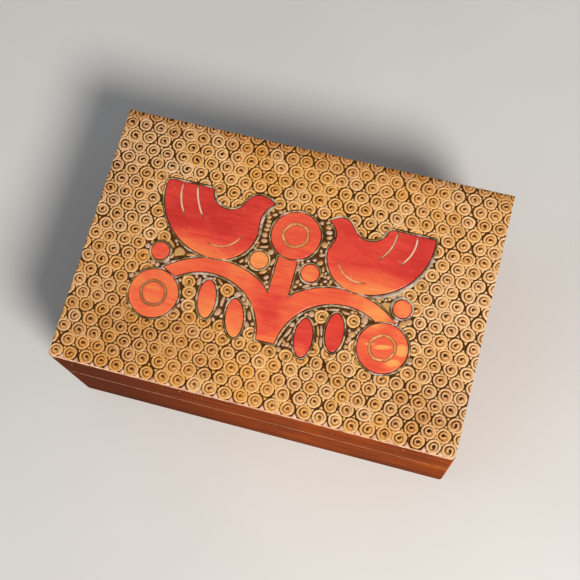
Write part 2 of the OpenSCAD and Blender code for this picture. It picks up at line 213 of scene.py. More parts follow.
# Beads in the narrow gaps of the motif: place, heading in degrees, length and width
BEADS = [
    (-9.9, 25.6, 60, 2.8, 2.1), (-9.8, 23.4, 20, 2.5, 1.9), (-11.7, 21.9, 30, 2.1, 1.6),
    (-11.5, 20.2, 10, 2.6, 1.8), (-11.4, 18.5, 5, 2.8, 1.8), (-11.4, 16.7, 5, 2.8, 1.9),
    (-11.4, 14.3, 15, 2.6, 2.2), (-11.1, 12, 10, 2.8, 2.2), (-10.5, 9.4, 15, 4.2, 1.4),
    (-15.7, 2.8, 80, 3, 1.6), (-17.5, 1.6, 60, 2.4, 1.5), (-5.6, 4.2, 75, 3.8, 1.5),
    (-8, -0.6, 35, 4, 1.6), (-6.4, -2.4, 20, 2.5, 1.8), (-5.9, -4.3, 40, 2.2, 1.8),
    (-5, -6.1, 60, 1.9, 1.5), (11.7, 25.3, 20, 2.1, 1.5), (12.3, 23.4, 0, 2.8, 2.1),
    (13, 21.3, 10, 2.8, 2), (13.6, 19.3, 30, 2.8, 1.9), (12.5, 11.7, 40, 2.5, 1.9),
    (10.3, 8.9, 20, 2.4, 1.6), (12.7, 8.3, 60, 2.9, 2.2), (14.4, 6, 95, 2.8, 1.4),
    (14.6, 3.7, 90, 2.1, 1.2), (16.4, 1.5, 20, 2, 1.4), (18, 0.6, -10, 2, 1.2),
    (4.9, 4.1, 85, 3.2, 1.5), (5.9, -1.2, 60, 2.4, 1.6), (5.5, -3.4, 40, 2.2, 1.6),
    (5.1, -5.8, 70, 1.9, 1.5), (9.7, -2.2, 30, 3.5, 1.5), (12.6, -0.5, 20, 3, 1.5),
    (-46.2, -5.8, 45, 3.2, 1.5), (-44.6, -3, 70, 2.9, 1.5), (46.6, -7, 0, 2.9, 1.5),
    (-23.3, -8.6, -42, 3.6, 1.3), (-20.2, -16, 88, 5, 1.6), (-20.8, -20.6, 62, 4, 2.3),
    (-22.8, -23.4, 44, 4, 1.4), (-8.6, -15.2, -66, 3.6, 1.4), (-8.5, -18.9, -68, 4.4, 1.9),
    (-8.6, -22.8, -60, 3.8, 2.2), (-8.9, -25.4, 20, 2.8, 1.7), (-6.6, -25.4, -75, 3.4, 1.1),
    (5.9, -26, 72, 4.4, 1.4), (7.6, -21.9, 64, 5.2, 1.5), (8.9, -23.4, 78, 3.6, 1.2),
    (18.7, -18.3, -74, 4.8, 1.15), (19.9, -17.8, -74, 4.8, 1.15), (19.5, -22.6, -75, 4.6, 1.2),
    (20.9, -22.2, -72, 4.8, 1.3), (21.6, -12.2, 80, 4, 1.2), (22.6, -8.7, 14, 5, 1.1),
    (27.4, -8.8, -8, 4, 1.2), (-31.4, -10.5, 88, 3.9, 2), (-37.6, -0.75, 8, 4.8, 1.3),
]

# Flat pads in the narrow gaps, by their outlines
PADS = [
    [(39.6, -1.8), (42.2, -0.8), (43.0, -0.9), (42.9, -2.2), (43.0, -3.6), (43.7, -4.8), (42.7, -4.3),
     (41.2, -3.2), (39.9, -2.3)],
    [(-44.3, 0.0), (-42.8, 1.2), (-41.3, 0.8), (-40.0, -0.4), (-40.3, -1.6), (-42.3, -2.3), (-43.6, -2.9),
     (-44.3, -1.5)],
    [(-49.4, 3.0), (-48.7, 3.9), (-47.2, 3.2), (-45.7, 2.1), (-44.7, 0.7), (-45.5, 0.3), (-46.6, 1.4),
     (-48.1, 2.4)],
]

# Rows of pale dots where two shapes touch: centre, radius and the two ends of the arc in degrees
DOTTED_SEAMS = [(-29.0, 14.5, 15.08, 258, 292), (29.0, 14.5, 15.08, 248, 280), (0.6, 16.8, 10.18, 244, 298)]
SEAM_DOT = 0.34
SEAM_STEP = 1.05

# The beads, in millimetres
BEAD_R = 0.84
BEAD_HIGH = 0.6
BEAD_LEAST = 0.5
BEAD_MOST = 1.2
BEAD_APART = 0.1

# The search for bare ground round the motif: a step in millimetres, and the columns and rows
GAP_STEP = 0.66
GAP_COLUMNS = range(-92, 93)
GAP_ROWS = range(-52, 56)


# Mesh and outline helpers

def arc(x, y, r, start, stop, steps=20):
    turns = [math.radians(start + (stop - start) * i / steps) for i in range(steps + 1)]
    return [(x + r * math.cos(a), y + r * math.sin(a)) for a in turns]


def circle(x, y, r, steps=48):
    return arc(x, y, r, 0, 360, steps)[:-1]


def tidy_loop(points):
    """Drops repeated points and runs the loop anticlockwise."""
    loop = []
    for p in points:
        if not loop or math.dist(p, loop[-1]) > LEAST_STEP:
            loop.append(p)
    if math.dist(loop[0], loop[-1]) <= LEAST_STEP:
        loop.pop()
    area = sum(a[0] * b[1] - b[0] * a[1] for a, b in zip(loop, loop[1:] + loop[:1]))
    return loop if area > 0 else loop[::-1]


def grown(loop, margin):
    """An anticlockwise loop moved outwards by one margin or a list of them, with its corners kept."""
    moved = []
    count = len(loop)
    margins = margin if isinstance(margin, list) else [margin] * count
    for i in range(count):
        p = Vector(loop[i])
        before = (p - Vector(loop[i - 1])).normalized()
        after = (Vector(loop[(i + 1) % count]) - p).normalized()
        out_a = Vector((before.y, -before.x))
        out_b = Vector((after.y, -after.x))
        spread = max(1 + out_a.dot(out_b), 0.5)
        moved.append(tuple(p + (out_a + out_b) * (margins[i] / spread)))
    return moved


def spaced(loop, step):
    """A loop with points added so that none are further apart than a step."""
    points = []
    for a, b in zip(loop, loop[1:] + loop[:1]):
        parts = max(1, math.ceil(math.dist(a, b) / step))
        dx, dy = b[0] - a[0], b[1] - a[1]
        points += [(a[0] + dx * i / parts, a[1] + dy * i / parts) for i in range(parts)]
    return points


def distance_to_loop(x, y, loop):
    """Distance in plan from a point to a loop, negative inside it."""
    best = 1e9
    inside = False
    for (ax, ay), (bx, by) in zip(loop, loop[1:] + loop[:1]):
        dx, dy = bx - ax, by - ay
        t = max(0.0, min(1.0, ((x - ax) * dx + (y - ay) * dy) / (dx * dx + dy * dy)))
        best = min(best, math.hypot(x - ax - t * dx, y - ay - t * dy))
        if (ay > y) != (by > y) and x < ax + dx * (y - ay) / dy:
            inside = not inside
    return -best if inside else best


def area_sum(x, y, areas):
    """The sum of soft round areas at a place: each has a middle, a reach and a height."""
    return sum(high * math.exp(-((x - a) ** 2 + (y - b) ** 2) / reach ** 2) for a, b, reach, high in areas)


def new_object(name, data, *materials):
    """An object in the scene, from a mesh with its materials, a light or a camera."""
    obj = bpy.data.objects.new(name, data)
    bpy.context.collection.objects.link(obj)
    for material in materials:
        data.materials.append(material)
    return obj


def bmesh_object(name, bm, *materials):
    mesh = bpy.data.meshes.new(name)
    bmesh.ops.recalc_face_normals(bm, faces=bm.faces)
    bm.to_mesh(mesh)
    bm.free()
    return new_object(name, mesh, *materials)


@contextmanager
def edited(obj):
    """An object's mesh as a bmesh, which is put back at the end."""
    bm = bmesh.new()
    bm.from_mesh(obj.data)
    yield bm
    bm.to_mesh(obj.data)
    bm.free()


def inset_margins(loop, margin):
    """An inset for each point of a loop, which narrows to none at its sharp tips."""
    tips = []
    for a, b, c in zip(loop[-1:] + loop[:-1], loop, loop[1:] + loop[:1]):
        before = (Vector(b) - Vector(a)).normalized()
        after = (Vector(c) - Vector(b)).normalized()
        if before.dot(after) < SHARP_TURN:
            tips.append(b)
    return [margin * min([1.0] + [math.dist(p, tip) / TIP_REACH for tip in tips]) for p in loop]


def stack_loops(bm, loop, levels):
    """A closed solid from copies of a loop, each grown by a margin and set at a height."""
    rings = []
    for margin, z in levels:
        margins = inset_margins(loop, margin) if margin < 0 else margin
        rings.append([bm.verts.new((x * MM, y * MM, z)) for x, y in grown(loop, margins)])
    count = len(loop)
    for low, high in zip(rings, rings[1:]):
        for i in range(count):
            j = (i + 1) % count
            bm.faces.new((low[i], low[j], high[j], high[i]))
    bm.faces.new(rings[-1])
    bm.faces.new(rings[0][::-1])


def settled(obj):
    """Replaces an object's mesh by what its modifiers make of it."""
    graph = bpy.context.evaluated_depsgraph_get()
    mesh = bpy.data.meshes.new_from_object(obj.evaluated_get(graph), depsgraph=graph)
    mesh.name = obj.name
    old = obj.data
    obj.modifiers.clear()
    obj.data = mesh
    bpy.data.meshes.remove(old)
    return obj


# The relief in plan

def rounded(points):
    """An open line with its corners cut three times over, its ends kept."""
    for _ in range(3):
        cut = [points[0]]
        for a, b in zip(points, points[1:]):
            cut.append((0.75 * a[0] + 0.25 * b[0], 0.75 * a[1] + 0.25 * b[1]))
            cut.append((0.25 * a[0] + 0.75 * b[0], 0.25 * a[1] + 0.75 * b[1]))
        points = cut + [points[-1]]
    return points


def eased_corner(loop, corner, reach):
    """The loop with one of its corners rounded, over a length on both sides."""
    at = loop.index(corner)
    turned = loop[at + 1:] + loop[:at]
    while math.dist(turned[0], corner) < reach:
        turned.pop(0)
    while math.dist(turned[-1], corner) < reach:
        turned.pop()
    tip = Vector(corner)
    start = tip.lerp(Vector(turned[-1]), reach / math.dist(turned[-1], corner))
    stop = tip.lerp(Vector(turned[0]), reach / math.dist(turned[0], corner))
    bend = [start.lerp(tip, s).lerp(tip.lerp(stop, s), s) for s in (0.0, 0.25, 0.5, 0.75, 1.0)]
    return [tuple(p) for p in bend] + turned


def bird_outline(bird):
    """A bird that faces the middle, on the right for side 1 and on the left for side -1."""
    tail_y = BELLY[1] + bird["tail_r"]
    tip = math.degrees(math.asin((WING_Y - tail_y) / bird["tail_r"]))
    head_x, head_y, head_r = bird["head"]
    hollow_x, hollow_y, hollow_r = bird["hollow"]
    apart = math.dist((head_x, head_y), (hollow_x, hollow_y))
    toward = math.atan2(hollow_y - head_y, hollow_x - head_x)
    nape = math.degrees(toward + math.acos(min(1.0, (head_r + hollow_r) / apart)))
    shoulder = 360 + math.degrees(math.asin((WING_Y - hollow_y) / hollow_r))
    points = arc(BELLY[0], tail_y, bird["tail_r"], tip, -90, 28)
    points += arc(BELLY[0], BELLY[1] + BREAST_R, BREAST_R, -90, -178)
    points += rounded([points[-1], bird["throat"]] + bird["beak"])[1:]
    points += bird["brow"]
    points += arc(head_x, head_y, head_r, bird["crown"], nape, 10)
    points += arc(hollow_x, hollow_y, hollow_r, nape + 180, shoulder, 16)
    corners = [(points[0], bird["tip_ease"]), (points[-1], bird["shoulder_ease"])]
    for corner, reach in corners:
        points = eased_corner(points, corner, reach)
    return tidy_loop([(bird["side"] * x, y) for x, y in points])


def tree():
    foot = 180 - math.degrees(math.asin((FOOT_Y - BOUGH_UNDER[1]) / BOUGH_UNDER[2]))
    end = math.degrees(math.acos((BOUGH_END_X - BOUGH_OVER[0]) / BOUGH_OVER[2]))
    fork = math.degrees(math.acos((FORK_X - BOUGH_OVER[0]) / BOUGH_OVER[2]))
    half = arc(*BOUGH_UNDER, foot, 52, 26)
    half += arc(*BOUGH_OVER, end, fork, 26)
    half += [(STEM_HALF, FORK_Y), (STEM_HALF - 0.1, STEM_Y)]
    return tidy_loop(half + [(-x, y) for x, y in reversed(half)])


def leaf(x, y, lean):
    """A pointed oval, turned anticlockwise by its lean."""
    turn = Matrix.Rotation(math.radians(lean), 2)
    points = []
    for i in range(LEAF_SIDES):
        a = 2 * math.pi * i / LEAF_SIDES
        across = math.copysign(abs(math.cos(a)) ** 1.05, math.cos(a)) * LEAF_W / 2
        points.append(tuple(Vector((x, y)) + turn @ Vector((across, math.sin(a) * LEAF_L / 2))))
    return tidy_loop(points)


BIRD_LOOPS = [bird_outline(bird) for bird in BIRDS]
TREE = tree()
FLOWER_LOOPS = [circle(x, y, FLOWER_R) for x, y in FLOWERS]
DOT_LOOPS = [circle(x, y, DOT_R, 32) for x, y in DOTS]
LEAF_LOOPS = [leaf(*place) for place in LEAVES]
ALL_LOOPS = BIRD_LOOPS + [TREE] + FLOWER_LOOPS + DOT_LOOPS + LEAF_LOOPS


def clearances(x, y):
    """Distances in plan from a point to every carved shape, the nearest first."""
    return sorted(distance_to_loop(x, y, loop) for loop in ALL_LOOPS)


# Building blocks for shaders and Geometry Nodes

class Value:
    """An output of a node, which makes Math nodes when it is reckoned with."""

    def __init__(self, net, socket):
        self.net = net
        self.socket = socket

    def __add__(self, other):
        return self.net.math("ADD", self, other)

    def __sub__(self, other):
        return self.net.math("SUBTRACT", self, other)

    def __rsub__(self, other):
        return self.net.math("SUBTRACT", other, self)

    def __mul__(self, other):
        return self.net.math("MULTIPLY", self, other)

    def __truediv__(self, other):
        return self.net.math("DIVIDE", self, other)


class Net:
    """A tree of nodes that is being built."""

    def __init__(self, tree):
        self.tree = tree

    def link(self, value, socket):
        self.tree.links.new(value.socket, socket)

    def node(self, kind, inputs=None, **settings):
        node = self.tree.nodes.new(kind)
        for key, value in settings.items():
            setattr(node, key, value)
        for key, value in (inputs or {}).items():
            if isinstance(value, Value):
                self.link(value, node.inputs[key])
            else:
                node.inputs[key].default_value = value
        return node

    def add(self, kind, inputs=None, out=0, **settings):
        """One output of a new node, the first one if no other is named."""
        return Value(self, self.node(kind, inputs, **settings).outputs[out])

    def outputs(self, kind, inputs=None, **settings):
        """All outputs of a new node, by name."""
        return {out.name: Value(self, out) for out in self.node(kind, inputs, **settings).outputs}

    def group(self, tree, inputs):
        return self.outputs("ShaderNodeGroup", inputs, node_tree=tree)

    def math(self, operation, a, b=0.0, c=0.0):
        return self.add("ShaderNodeMath", {0: a, 1: b, 2: c}, operation=operation)

    def vector(self, operation, a, b=(0.0, 0.0, 0.0), out="Vector"):
        return self.add("ShaderNodeVectorMath", {0: a, 1: b}, out, operation=operation)

    def distance(self, a, b=(0.0, 0.0, 0.0)):
        return self.vector("DISTANCE", a, b, "Value")

    def axes(self, vector):
        return self.outputs("ShaderNodeSeparateXYZ", {"Vector": vector}).values()

    def combine(self, x, y, z=0.0):
        return self.add("ShaderNodeCombineXYZ", {"X": x, "Y": y, "Z": z})

    def stretched(self, vector, x, y, z):
        return self.add("ShaderNodeMapping", {"Vector": vector, "Scale": (x, y, z)})

    def fade(self, value, low, high, start=0.0, stop=1.0):
        """A smooth step of value from start at low to stop at high."""
        return self.add("ShaderNodeMapRange", {
            "Value": value, "From Min": low, "From Max": high, "To Min": start, "To Max": stop,
        }, interpolation_type="SMOOTHSTEP")

    def noise(self, vector, scale, detail, rough, distort=0.0):
        return self.add("ShaderNodeTexNoise", {
            "Vector": vector, "Scale": scale, "Detail": detail, "Roughness": rough, "Distortion": distort,
        }, "Fac")

    def attribute(self, name):
        return self.add("ShaderNodeAttribute", out="Fac", attribute_name=name)

    def mix(self, factor, a, b, blend="MIX"):
        """Two colours mixed, each an output or three numbers."""
        a, b = [color if isinstance(color, Value) else (*color, 1.0) for color in (a, b)]
        return self.add("ShaderNodeMix", {0: factor, 6: a, 7: b}, 2, data_type="RGBA", blend_type=blend)

    def ramp(self, value, *stops):
        node = self.node("ShaderNodeValToRGB", {"Fac": value})
        points = node.color_ramp.elements
        while len(points) < len(stops):
            points.new(1.0)
        for point, (place, color) in zip(points, stops):
            point.position = place
            point.color = (*color, 1.0)
        return Value(self, node.outputs["Color"])


def new_tree(name, kind, inputs, outputs):
    """A node group with sockets given as name and kind: its net, its inputs and the sockets at its end."""
    tree = bpy.data.node_groups.new(name, kind)
    for way, sockets in (("INPUT", inputs), ("OUTPUT", outputs)):
        for label, socket in sockets.items():
            tree.interface.new_socket(label, in_out=way, socket_type="NodeSocket" + socket)
    net = Net(tree)
    return net, net.outputs("NodeGroupInput"), net.node("NodeGroupOutput").inputs


def wood_grain_group():
    """Streaks and pores of a board; Vector is already stretched along the grain."""
    g, inp, out = new_tree(
        "wood_grain", "ShaderNodeTree",
        {"Vector": "Vector", "Streak Scale": "Float", "Pore Scale": "Float"},
        {"Streak": "Float", "Pores": "Float"})
    broad = g.noise(inp["Vector"], inp["Streak Scale"], 4.0, 0.6, 0.6)
    fine = g.noise(inp["Vector"], inp["Streak Scale"] * 4.0, 3.0, 0.6, 0.2)
    g.link(g.fade(fine * 0.4 + broad * 0.6, 0.34, 0.66), out["Streak"])
    pores = g.noise(inp["Vector"], inp["Pore Scale"], 2.0, 0.7)
    g.link(g.fade(pores, 0.62, 0.72), out["Pores"])
    return g.tree


def edge_wear_group():
    """Mask of the rubbed edges of a box, broken up by noise."""
    g, inp, out = new_tree(
        "edge_wear", "ShaderNodeTree",
        {"Vector": "Vector", "Centre": "Vector", "Half Size": "Vector", "Width": "Float"},
        {"Mask": "Float"})
    off = g.vector("ABSOLUTE", g.vector("SUBTRACT", inp["Vector"], inp["Centre"]))
    x, y, z = g.axes(g.vector("SUBTRACT", inp["Half Size"], off))
    higher = g.math("MINIMUM", g.math("MAXIMUM", x, y), z)
    second = g.math("MAXIMUM", g.math("MINIMUM", x, y), higher)
    breakup = g.noise(inp["Vector"], 260.0, 4.0, 0.65)
    reach = inp["Width"] * (breakup * 2.0 - 0.2)
    near = second / g.math("MAXIMUM", reach, 1e-6)
    g.link(g.fade(near, 0.5, 1.0, 1.0, 0.0), out["Mask"])
    return g.tree


def grime_group():
    """Uneven dulling: a cloudy mask in broad patches and fine specks."""
    g, inp, out = new_tree(
        "grime", "ShaderNodeTree", {"Vector": "Vector", "Patch Scale": "Float"},
        {"Patches": "Float", "Specks": "Float"})
    patches = g.noise(inp["Vector"], inp["Patch Scale"], 5.0, 0.6, 0.4)
    g.link(g.fade(patches, 0.35, 0.7), out["Patches"])
    specks = g.noise(inp["Vector"], inp["Patch Scale"] * 24.0, 2.0, 0.5)
    g.link(g.fade(specks, 0.66, 0.74), out["Specks"])
    return g.tree


GRAIN = wood_grain_group()
WEAR = edge_wear_group()
GRIME = grime_group()


class Finish(Net):
    """A material with its shader, and Object coordinates ready to use."""

    def __init__(self, name, **constants):
        self.material = bpy.data.materials.new(name)
        self.material.use_nodes = True
        super().__init__(self.material.node_tree)
        self.shader = self.tree.nodes["Principled BSDF"]
        for key, value in constants.items():
            self.shader.inputs[key.replace("_", " ")].default_value = value
        self.place = self.add("ShaderNodeTexCoord", out="Object")
        self.x, self.y, self.z = self.axes(self.place)

    def set(self, **values):
        for key, value in values.items():
            self.link(value, self.shader.inputs[key.replace("_", " ")])

    def bump(self, height, depth, strength):
        self.set(Normal=self.add("ShaderNodeBump", {
            "Height": height, "Distance": depth * MM, "Strength": strength}))

    def grain(self, stretch, streaks, pores):
        return self.group(GRAIN, {
            "Vector": self.stretched(self.place, *stretch), "Streak Scale": streaks, "Pore Scale": pores})

    def grime(self, scale):
        return self.group(GRIME, {"Vector": self.place, "Patch Scale": scale})


# Finishes

# Height up to which painted shade darkens the stained walls above the floor
FOOT_SHADE_Z = 15.0 * MM
PLY_PAIRS = 3
BARE_DARK = (0.33, 0.19, 0.085)
BARE_MID = (0.50, 0.32, 0.155)
BARE_PALE = (0.62, 0.43, 0.24)

# Small pale spots on the front of the lid, in millimetres: x, z and reach
PALE_FRONT_SPOTS = [(-72.5, 53.5, 0.5), (-27.2, 57.0, 0.6), (-18.6, 54.5, 0.45), (33.0, 50.5, 0.4), (61.0, 56.5, 0.5)]


def bare_wood_color(f, grain):
    color = f.ramp(grain["Streak"], (0.0, BARE_DARK), (0.5, BARE_MID), (1.0, BARE_PALE))
    return f.mix(grain["Pores"] * 0.5, color, BARE_DARK)


def stained_wood(name, stretch):
    """Red-brown stain and lacquer outside, bare wood inside and on the sawn edges. Painted shade darkens the
    left end and the foot of the walls, and a painted highlight, partly worn edge, runs along the lid's lower
    edge above the seam.
    """
    f = Finish(name, Coat_Roughness=0.2, Coat_IOR=1.25, Specular_IOR_Level=0.0)
    grain = f.grain(stretch, 22.0, 95.0)
    stain = f.ramp(grain["Streak"], (0.0, (0.18, 0.025, 0.002)), (0.45, (0.36, 0.059, 0.003)),
                   (1.0, (0.49, 0.095, 0.006)))
    stain = f.mix(grain["Pores"] * 0.6, stain, (0.05, 0.012, 0.004))
    patches = f.grime(26.0)["Patches"]
    stain = f.mix(patches * 0.45, stain, (0.10, 0.020, 0.007))
    # Painted shade: the stain darkens from the middle towards the left end of the box.
    left_end_shade = f.fade(patches * 0.018 + f.x, -0.06, 0.035, 0.74, 0.0)
    stain = f.mix(left_end_shade, stain, (0.065, 0.010, 0.002))
    # Painted shade: the walls darken over their lowest part, towards the floor.
    stain = f.mix(f.fade(f.z, 1.0 * MM, FOOT_SHADE_Z, 0.55, 0.0), stain, (0.055, 0.014, 0.005))
    wear = f.group(WEAR, {
        "Vector": f.place, "Centre": (0, 0, TOP_Z / 2), "Half Size": (HALF_W, HALF_D, TOP_Z / 2),
        "Width": 0.7 * MM})
    stain = f.mix(wear["Mask"] * 0.55, stain, (0.46, 0.17, 0.06))
    front = f.math("LESS_THAN", f.y, 0.2 * MM - HALF_D)
    for x, z, reach in PALE_FRONT_SPOTS:
        apart = f.distance(f.stretched(f.place, 1.0, 0.0, 1.0), (x * MM, 0.0, z * MM))
        pale_spot = f.fade(apart, 0.5 * reach * MM, reach * MM, 0.85, 0.0)
        stain = f.mix(pale_spot * front, stain, (0.74, 0.45, 0.34))
    out_x = f.math("ABSOLUTE", f.x)
    out_y = f.math("ABSOLUTE", f.y)
    inward = f.math("MAXIMUM", out_x - INSIDE_W, out_y - INSIDE_D)
    inside = f.fade(inward, 0.05 * MM, 0.35 * MM, 1.0, 0.0)
    above_seam = f.z - SEAM_Z
    sawn = f.fade(f.math("ABSOLUTE", above_seam), 0.16 * MM, 0.24 * MM, 1.0, 0.0)
    bare = f.math("MAXIMUM", inside, sawn)
    stain = f.mix(bare, stain, bare_wood_color(f, grain))
    # Painted highlight, partly worn edge: a broken pale band on the outside of the lid's lower edge, just
    # above the seam.
    seam_breakup = f.fade(f.noise(f.stretched(f.place, 1.0, 1.0, 0.1), 240.0, 3.0, 0.6), 0.34, 0.50)
    rubbed_and_highlight = seam_breakup * f.fade(above_seam, 0.48 * MM, 0.72 * MM, 1.0, 0.0)
    rubbed_and_highlight = rubbed_and_highlight * f.math("GREATER_THAN", above_seam, 0.0)
    from_edge = f.math("MINIMUM", HALF_W - out_x, HALF_D - out_y)
    rubbed_and_highlight = rubbed_and_highlight * f.fade(from_edge, 0.4 * MM, 0.8 * MM, 1.0, 0.0)
    f.set(Base_Color=f.mix(rubbed_and_highlight * 0.9, stain, (0.76, 0.42, 0.29)),
          Roughness=f.fade(bare, 0.0, 1.0, patches * 0.16 + 0.30, 0.72),
          Coat_Weight=bare * -0.06 + 0.06)
    f.bump(grain["Pores"] * -0.6 + grain["Streak"], 0.05, 0.5)
    return f.material


def punched_amber():
    """Amber wood of the swirls: burnt brown in the grooves, pale and shiny on the ridges."""
    f = Finish("punched_amber", Coat_Roughness=0.22, Coat_IOR=1.4, Specular_IOR_Level=0.12)
    height = (f.z - GROUND_Z) / (SWIRL_TOP_Z - GROUND_Z)
    mottle = f.noise(f.place, 700.0, 4.0, 0.6)
    burn = (mottle - 0.5) * 0.4 + height
    burn = burn + (0.8 - burn) * (f.attribute("worn") * 0.75)
    warm = f.ramp(burn, (0.05, (0.040, 0.011, 0.001)), (0.30, (0.15, 0.050, 0.006)),
                  (0.56, (0.46, 0.195, 0.038)), (0.84, (0.75, 0.385, 0.105)), (1.0, (0.80, 0.45, 0.15)))
    cool = f.ramp(burn, (0.05, (0.045, 0.014, 0.003)), (0.30, (0.17, 0.066, 0.017)),
                  (0.56, (0.50, 0.24, 0.085)), (0.84, (0.79, 0.47, 0.22)), (1.0, (0.85, 0.56, 0.31)))
    color = f.mix(f.attribute("tone"), warm, cool)
    yellow = f.mix(1.0, color, (1.0, 0.84, 0.50), "MULTIPLY")
    color = f.mix(f.grime(30.0)["Patches"] * 0.6, color, yellow)
    # Painted shade, and random darker swirls: the shade attribute mixes towards this darker colour.
    dull = f.mix(1.0, color, (0.62, 0.50, 0.42), "MULTIPLY")
    f.set(Base_Color=f.mix(f.attribute("shade"), color, dull),
          Roughness=f.fade(burn, 0.2, 0.9, 0.62, 0.36),
          Coat_Weight=f.fade(burn, 0.45, 0.95, 0.0, 0.35))
    f.bump(mottle, 0.06, 0.6)
    return f.material


def mottled(name, scale, rough, stops, depth, strength, **constants):
    """A finish whose colour and bumps both follow one fine noise."""
    f = Finish(name, **constants)
    patches = f.noise(f.place, scale, 4.0, rough)
    f.set(Base_Color=f.ramp(patches, *stops))
    f.bump(patches, depth, strength)
    return f.material


def bead_finish():
    """Beads from ochre to a greyed pink, dark at the foot."""
    f = Finish("bead_finish", Roughness=0.45, Specular_IOR_Level=0.2, Coat_Weight=0.4, Coat_Roughness=0.2)
    mottle = f.noise(f.place, 600.0, 4.0, 0.6)
    crown = f.ramp(f.attribute("tone"), (0.0, (0.56, 0.29, 0.09)), (0.45, (0.54, 0.31, 0.16)),
                   (0.8, (0.55, 0.36, 0.25)), (1.0, (0.64, 0.50, 0.38)))
    height = (mottle - 0.5) * (0.35 * MM) + f.z
    foot = f.fade(height, GROUND_Z + 0.02 * MM, GROUND_Z + 0.30 * MM, 1.0, 0.0)
    f.set(Base_Color=f.mix(foot, crown, (0.060, 0.022, 0.006)))
    f.bump(mottle, 0.06, 0.6)
    return f.material


def motif_stain():
    """Red to orange stain on the flat motif, with fine grain along the board."""
    f = Finish("motif_stain", Coat_Roughness=0.2, Coat_IOR=1.5, Specular_IOR_Level=0.0)
    warmth = f.attribute("warmth")
    near_middle = f.fade(f.x, -MM, MM, 0.16, 0.30)
    wing = f.math("MINIMUM", near_middle, f.fade(f.x, 36 * MM, 46 * MM, 0.30, 0.16))
    belly = f.math("POWER", f.fade(f.y, 1.0 * MM, 13.0 * MM, 1.0, 0.0), 1.2)
    on_bird = f.math("LESS_THAN", warmth, 0.5 * ON_BIRD)
    warmth = on_bird * (belly * 0.55 + wing - warmth) + warmth
    grain = f.grain((1.0, 14.0, 14.0), 34.0, 130.0)
    streak = grain["Streak"] - 0.5
    cloud = f.noise(f.stretched(f.place, 1.0, 2.2, 2.2), 62.0, 3.0, 0.6, 0.8)
    heat = (cloud - 0.5) * 0.7 + warmth + streak * 0.16
    flat = f.stretched(f.place, 1.0, 1.0, 0.0)
    for x, y, reach, change in STAIN_AREAS:
        apart = f.distance(flat, (x * MM, y * MM, 0.0))
        heat = heat + f.fade(apart, 0.3 * reach * MM, 1.2 * reach * MM, change, 0.0)
    color = f.ramp(heat, (0.0, (0.50, 0.026, 0.022)), (0.35, (0.71, 0.062, 0.040)),
                   (0.65, (0.81, 0.134, 0.054)), (1.0, (0.88, 0.29, 0.082)))
    color = f.mix(f.grime(14.0)["Specks"] * 0.16, color, (0.86, 0.36, 0.22))
    # Painted reflections: pale streaks laid over the right flower.
    for x, y, half_x, half_y in PAINTED_REFLECTIONS:
        turned = f.add("ShaderNodeMapping", {
            "Vector": f.place, "Location": (x * MM, y * MM, 0.0), "Rotation": (0.0, 0.0, REFLECTION_TURN),
            "Scale": (half_x * MM, half_y * MM, 1.0)}, vector_type="TEXTURE")
        apart = streak * 0.3 + f.distance(f.stretched(turned, 1.0, 1.0, 0.0))
        color = f.mix(f.fade(apart, 0.45, 1.05, 0.85, 0.0), color, (0.92, 0.40, 0.11))
    color = f.mix(grain["Pores"] * 0.35, color, (0.25, 0.020, 0.012))
    deep = f.fade(f.z, GROUND_Z + 0.2 * MM, TOP_Z - 0.01 * MM, 0.88, 0.0)
    shine = f.fade(cloud, 0.2, 0.8, 0.5, 0.3) * f.fade(f.z, TOP_Z - 0.08 * MM, TOP_Z - 0.02 * MM)
    f.set(Base_Color=f.mix(deep, color, (0.075, 0.026, 0.010)), Roughness=cloud * 0.25 + 0.24,
          Coat_Weight=shine)
    f.bump(grain["Pores"] * -0.8 + grain["Streak"], 0.05, 0.5)
    return f.material


def scraped_lip(name, pale, pink, olive, dark, break_scale, broken, rim=0.0):
    """Thin lip or cut line: dirty below, olive on its crest, worn pale or pinkish in broken stretches; the
    upper walls of a cut line get painted shade, by the rim share.
    """
    f = Finish(name, Roughness=0.42, Coat_Weight=0.2, Coat_Roughness=0.25, Specular_IOR_Level=0.2)
    fine = f.noise(f.place, 900.0, 4.0, 0.65)
    stretches = f.noise(f.place, break_scale, 3.0, 0.6)
    height = f.fade(f.z, GROUND_Z + 0.1 * MM, TOP_Z - 0.22 * MM)
    crest = height * f.fade(fine, 0.25, 0.55, 0.35, 1.0)
    rubbed_and_highlight = crest * f.fade(stretches, broken, broken + 0.12)
    broad = f.fade(f.attribute("girth"), 1.5, 2.1)
    rubbed_and_highlight = f.math("MAXIMUM", rubbed_and_highlight, broad * (crest * fine))
    side = f.fade(f.noise(f.place, 45.0, 2.0, 0.5), 0.44, 0.58)
    bright = f.mix(f.math("MAXIMUM", side, broad), pale, pink)
    color = f.mix(rubbed_and_highlight, f.mix(crest, dark, olive), bright)
    # Painted shade: the upper walls of a cut line darken by the rim share, which is none for the lip.
    wall = f.fade(f.z, TOP_Z - 0.27 * MM, TOP_Z - 0.2 * MM, 0.0, rim)
    f.set(Base_Color=f.mix(wall, color, dark))
    f.bump(fine, 0.08, 0.7)
    return f.material


def plywood():
    """Pale plywood, with its plies showing at the edge."""
    f = Finish("plywood", Roughness=0.65)
    grain = f.grain((1.0, 14.0, 14.0), 20.0, 80.0)
    plies = f.math("SINE", f.z * (2 * math.pi * PLY_PAIRS / BOTTOM_T))
    color = f.mix(f.fade(plies, 0.2, 0.8, 0.0, 0.35), bare_wood_color(f, grain), (0.22, 0.11, 0.045))
    f.set(Base_Color=f.mix(f.grime(18.0)["Patches"] * 0.3, color, (0.25, 0.15, 0.07)))
    f.bump(grain["Pores"] * -0.7 + grain["Streak"], 0.05, 0.5)
    return f.material


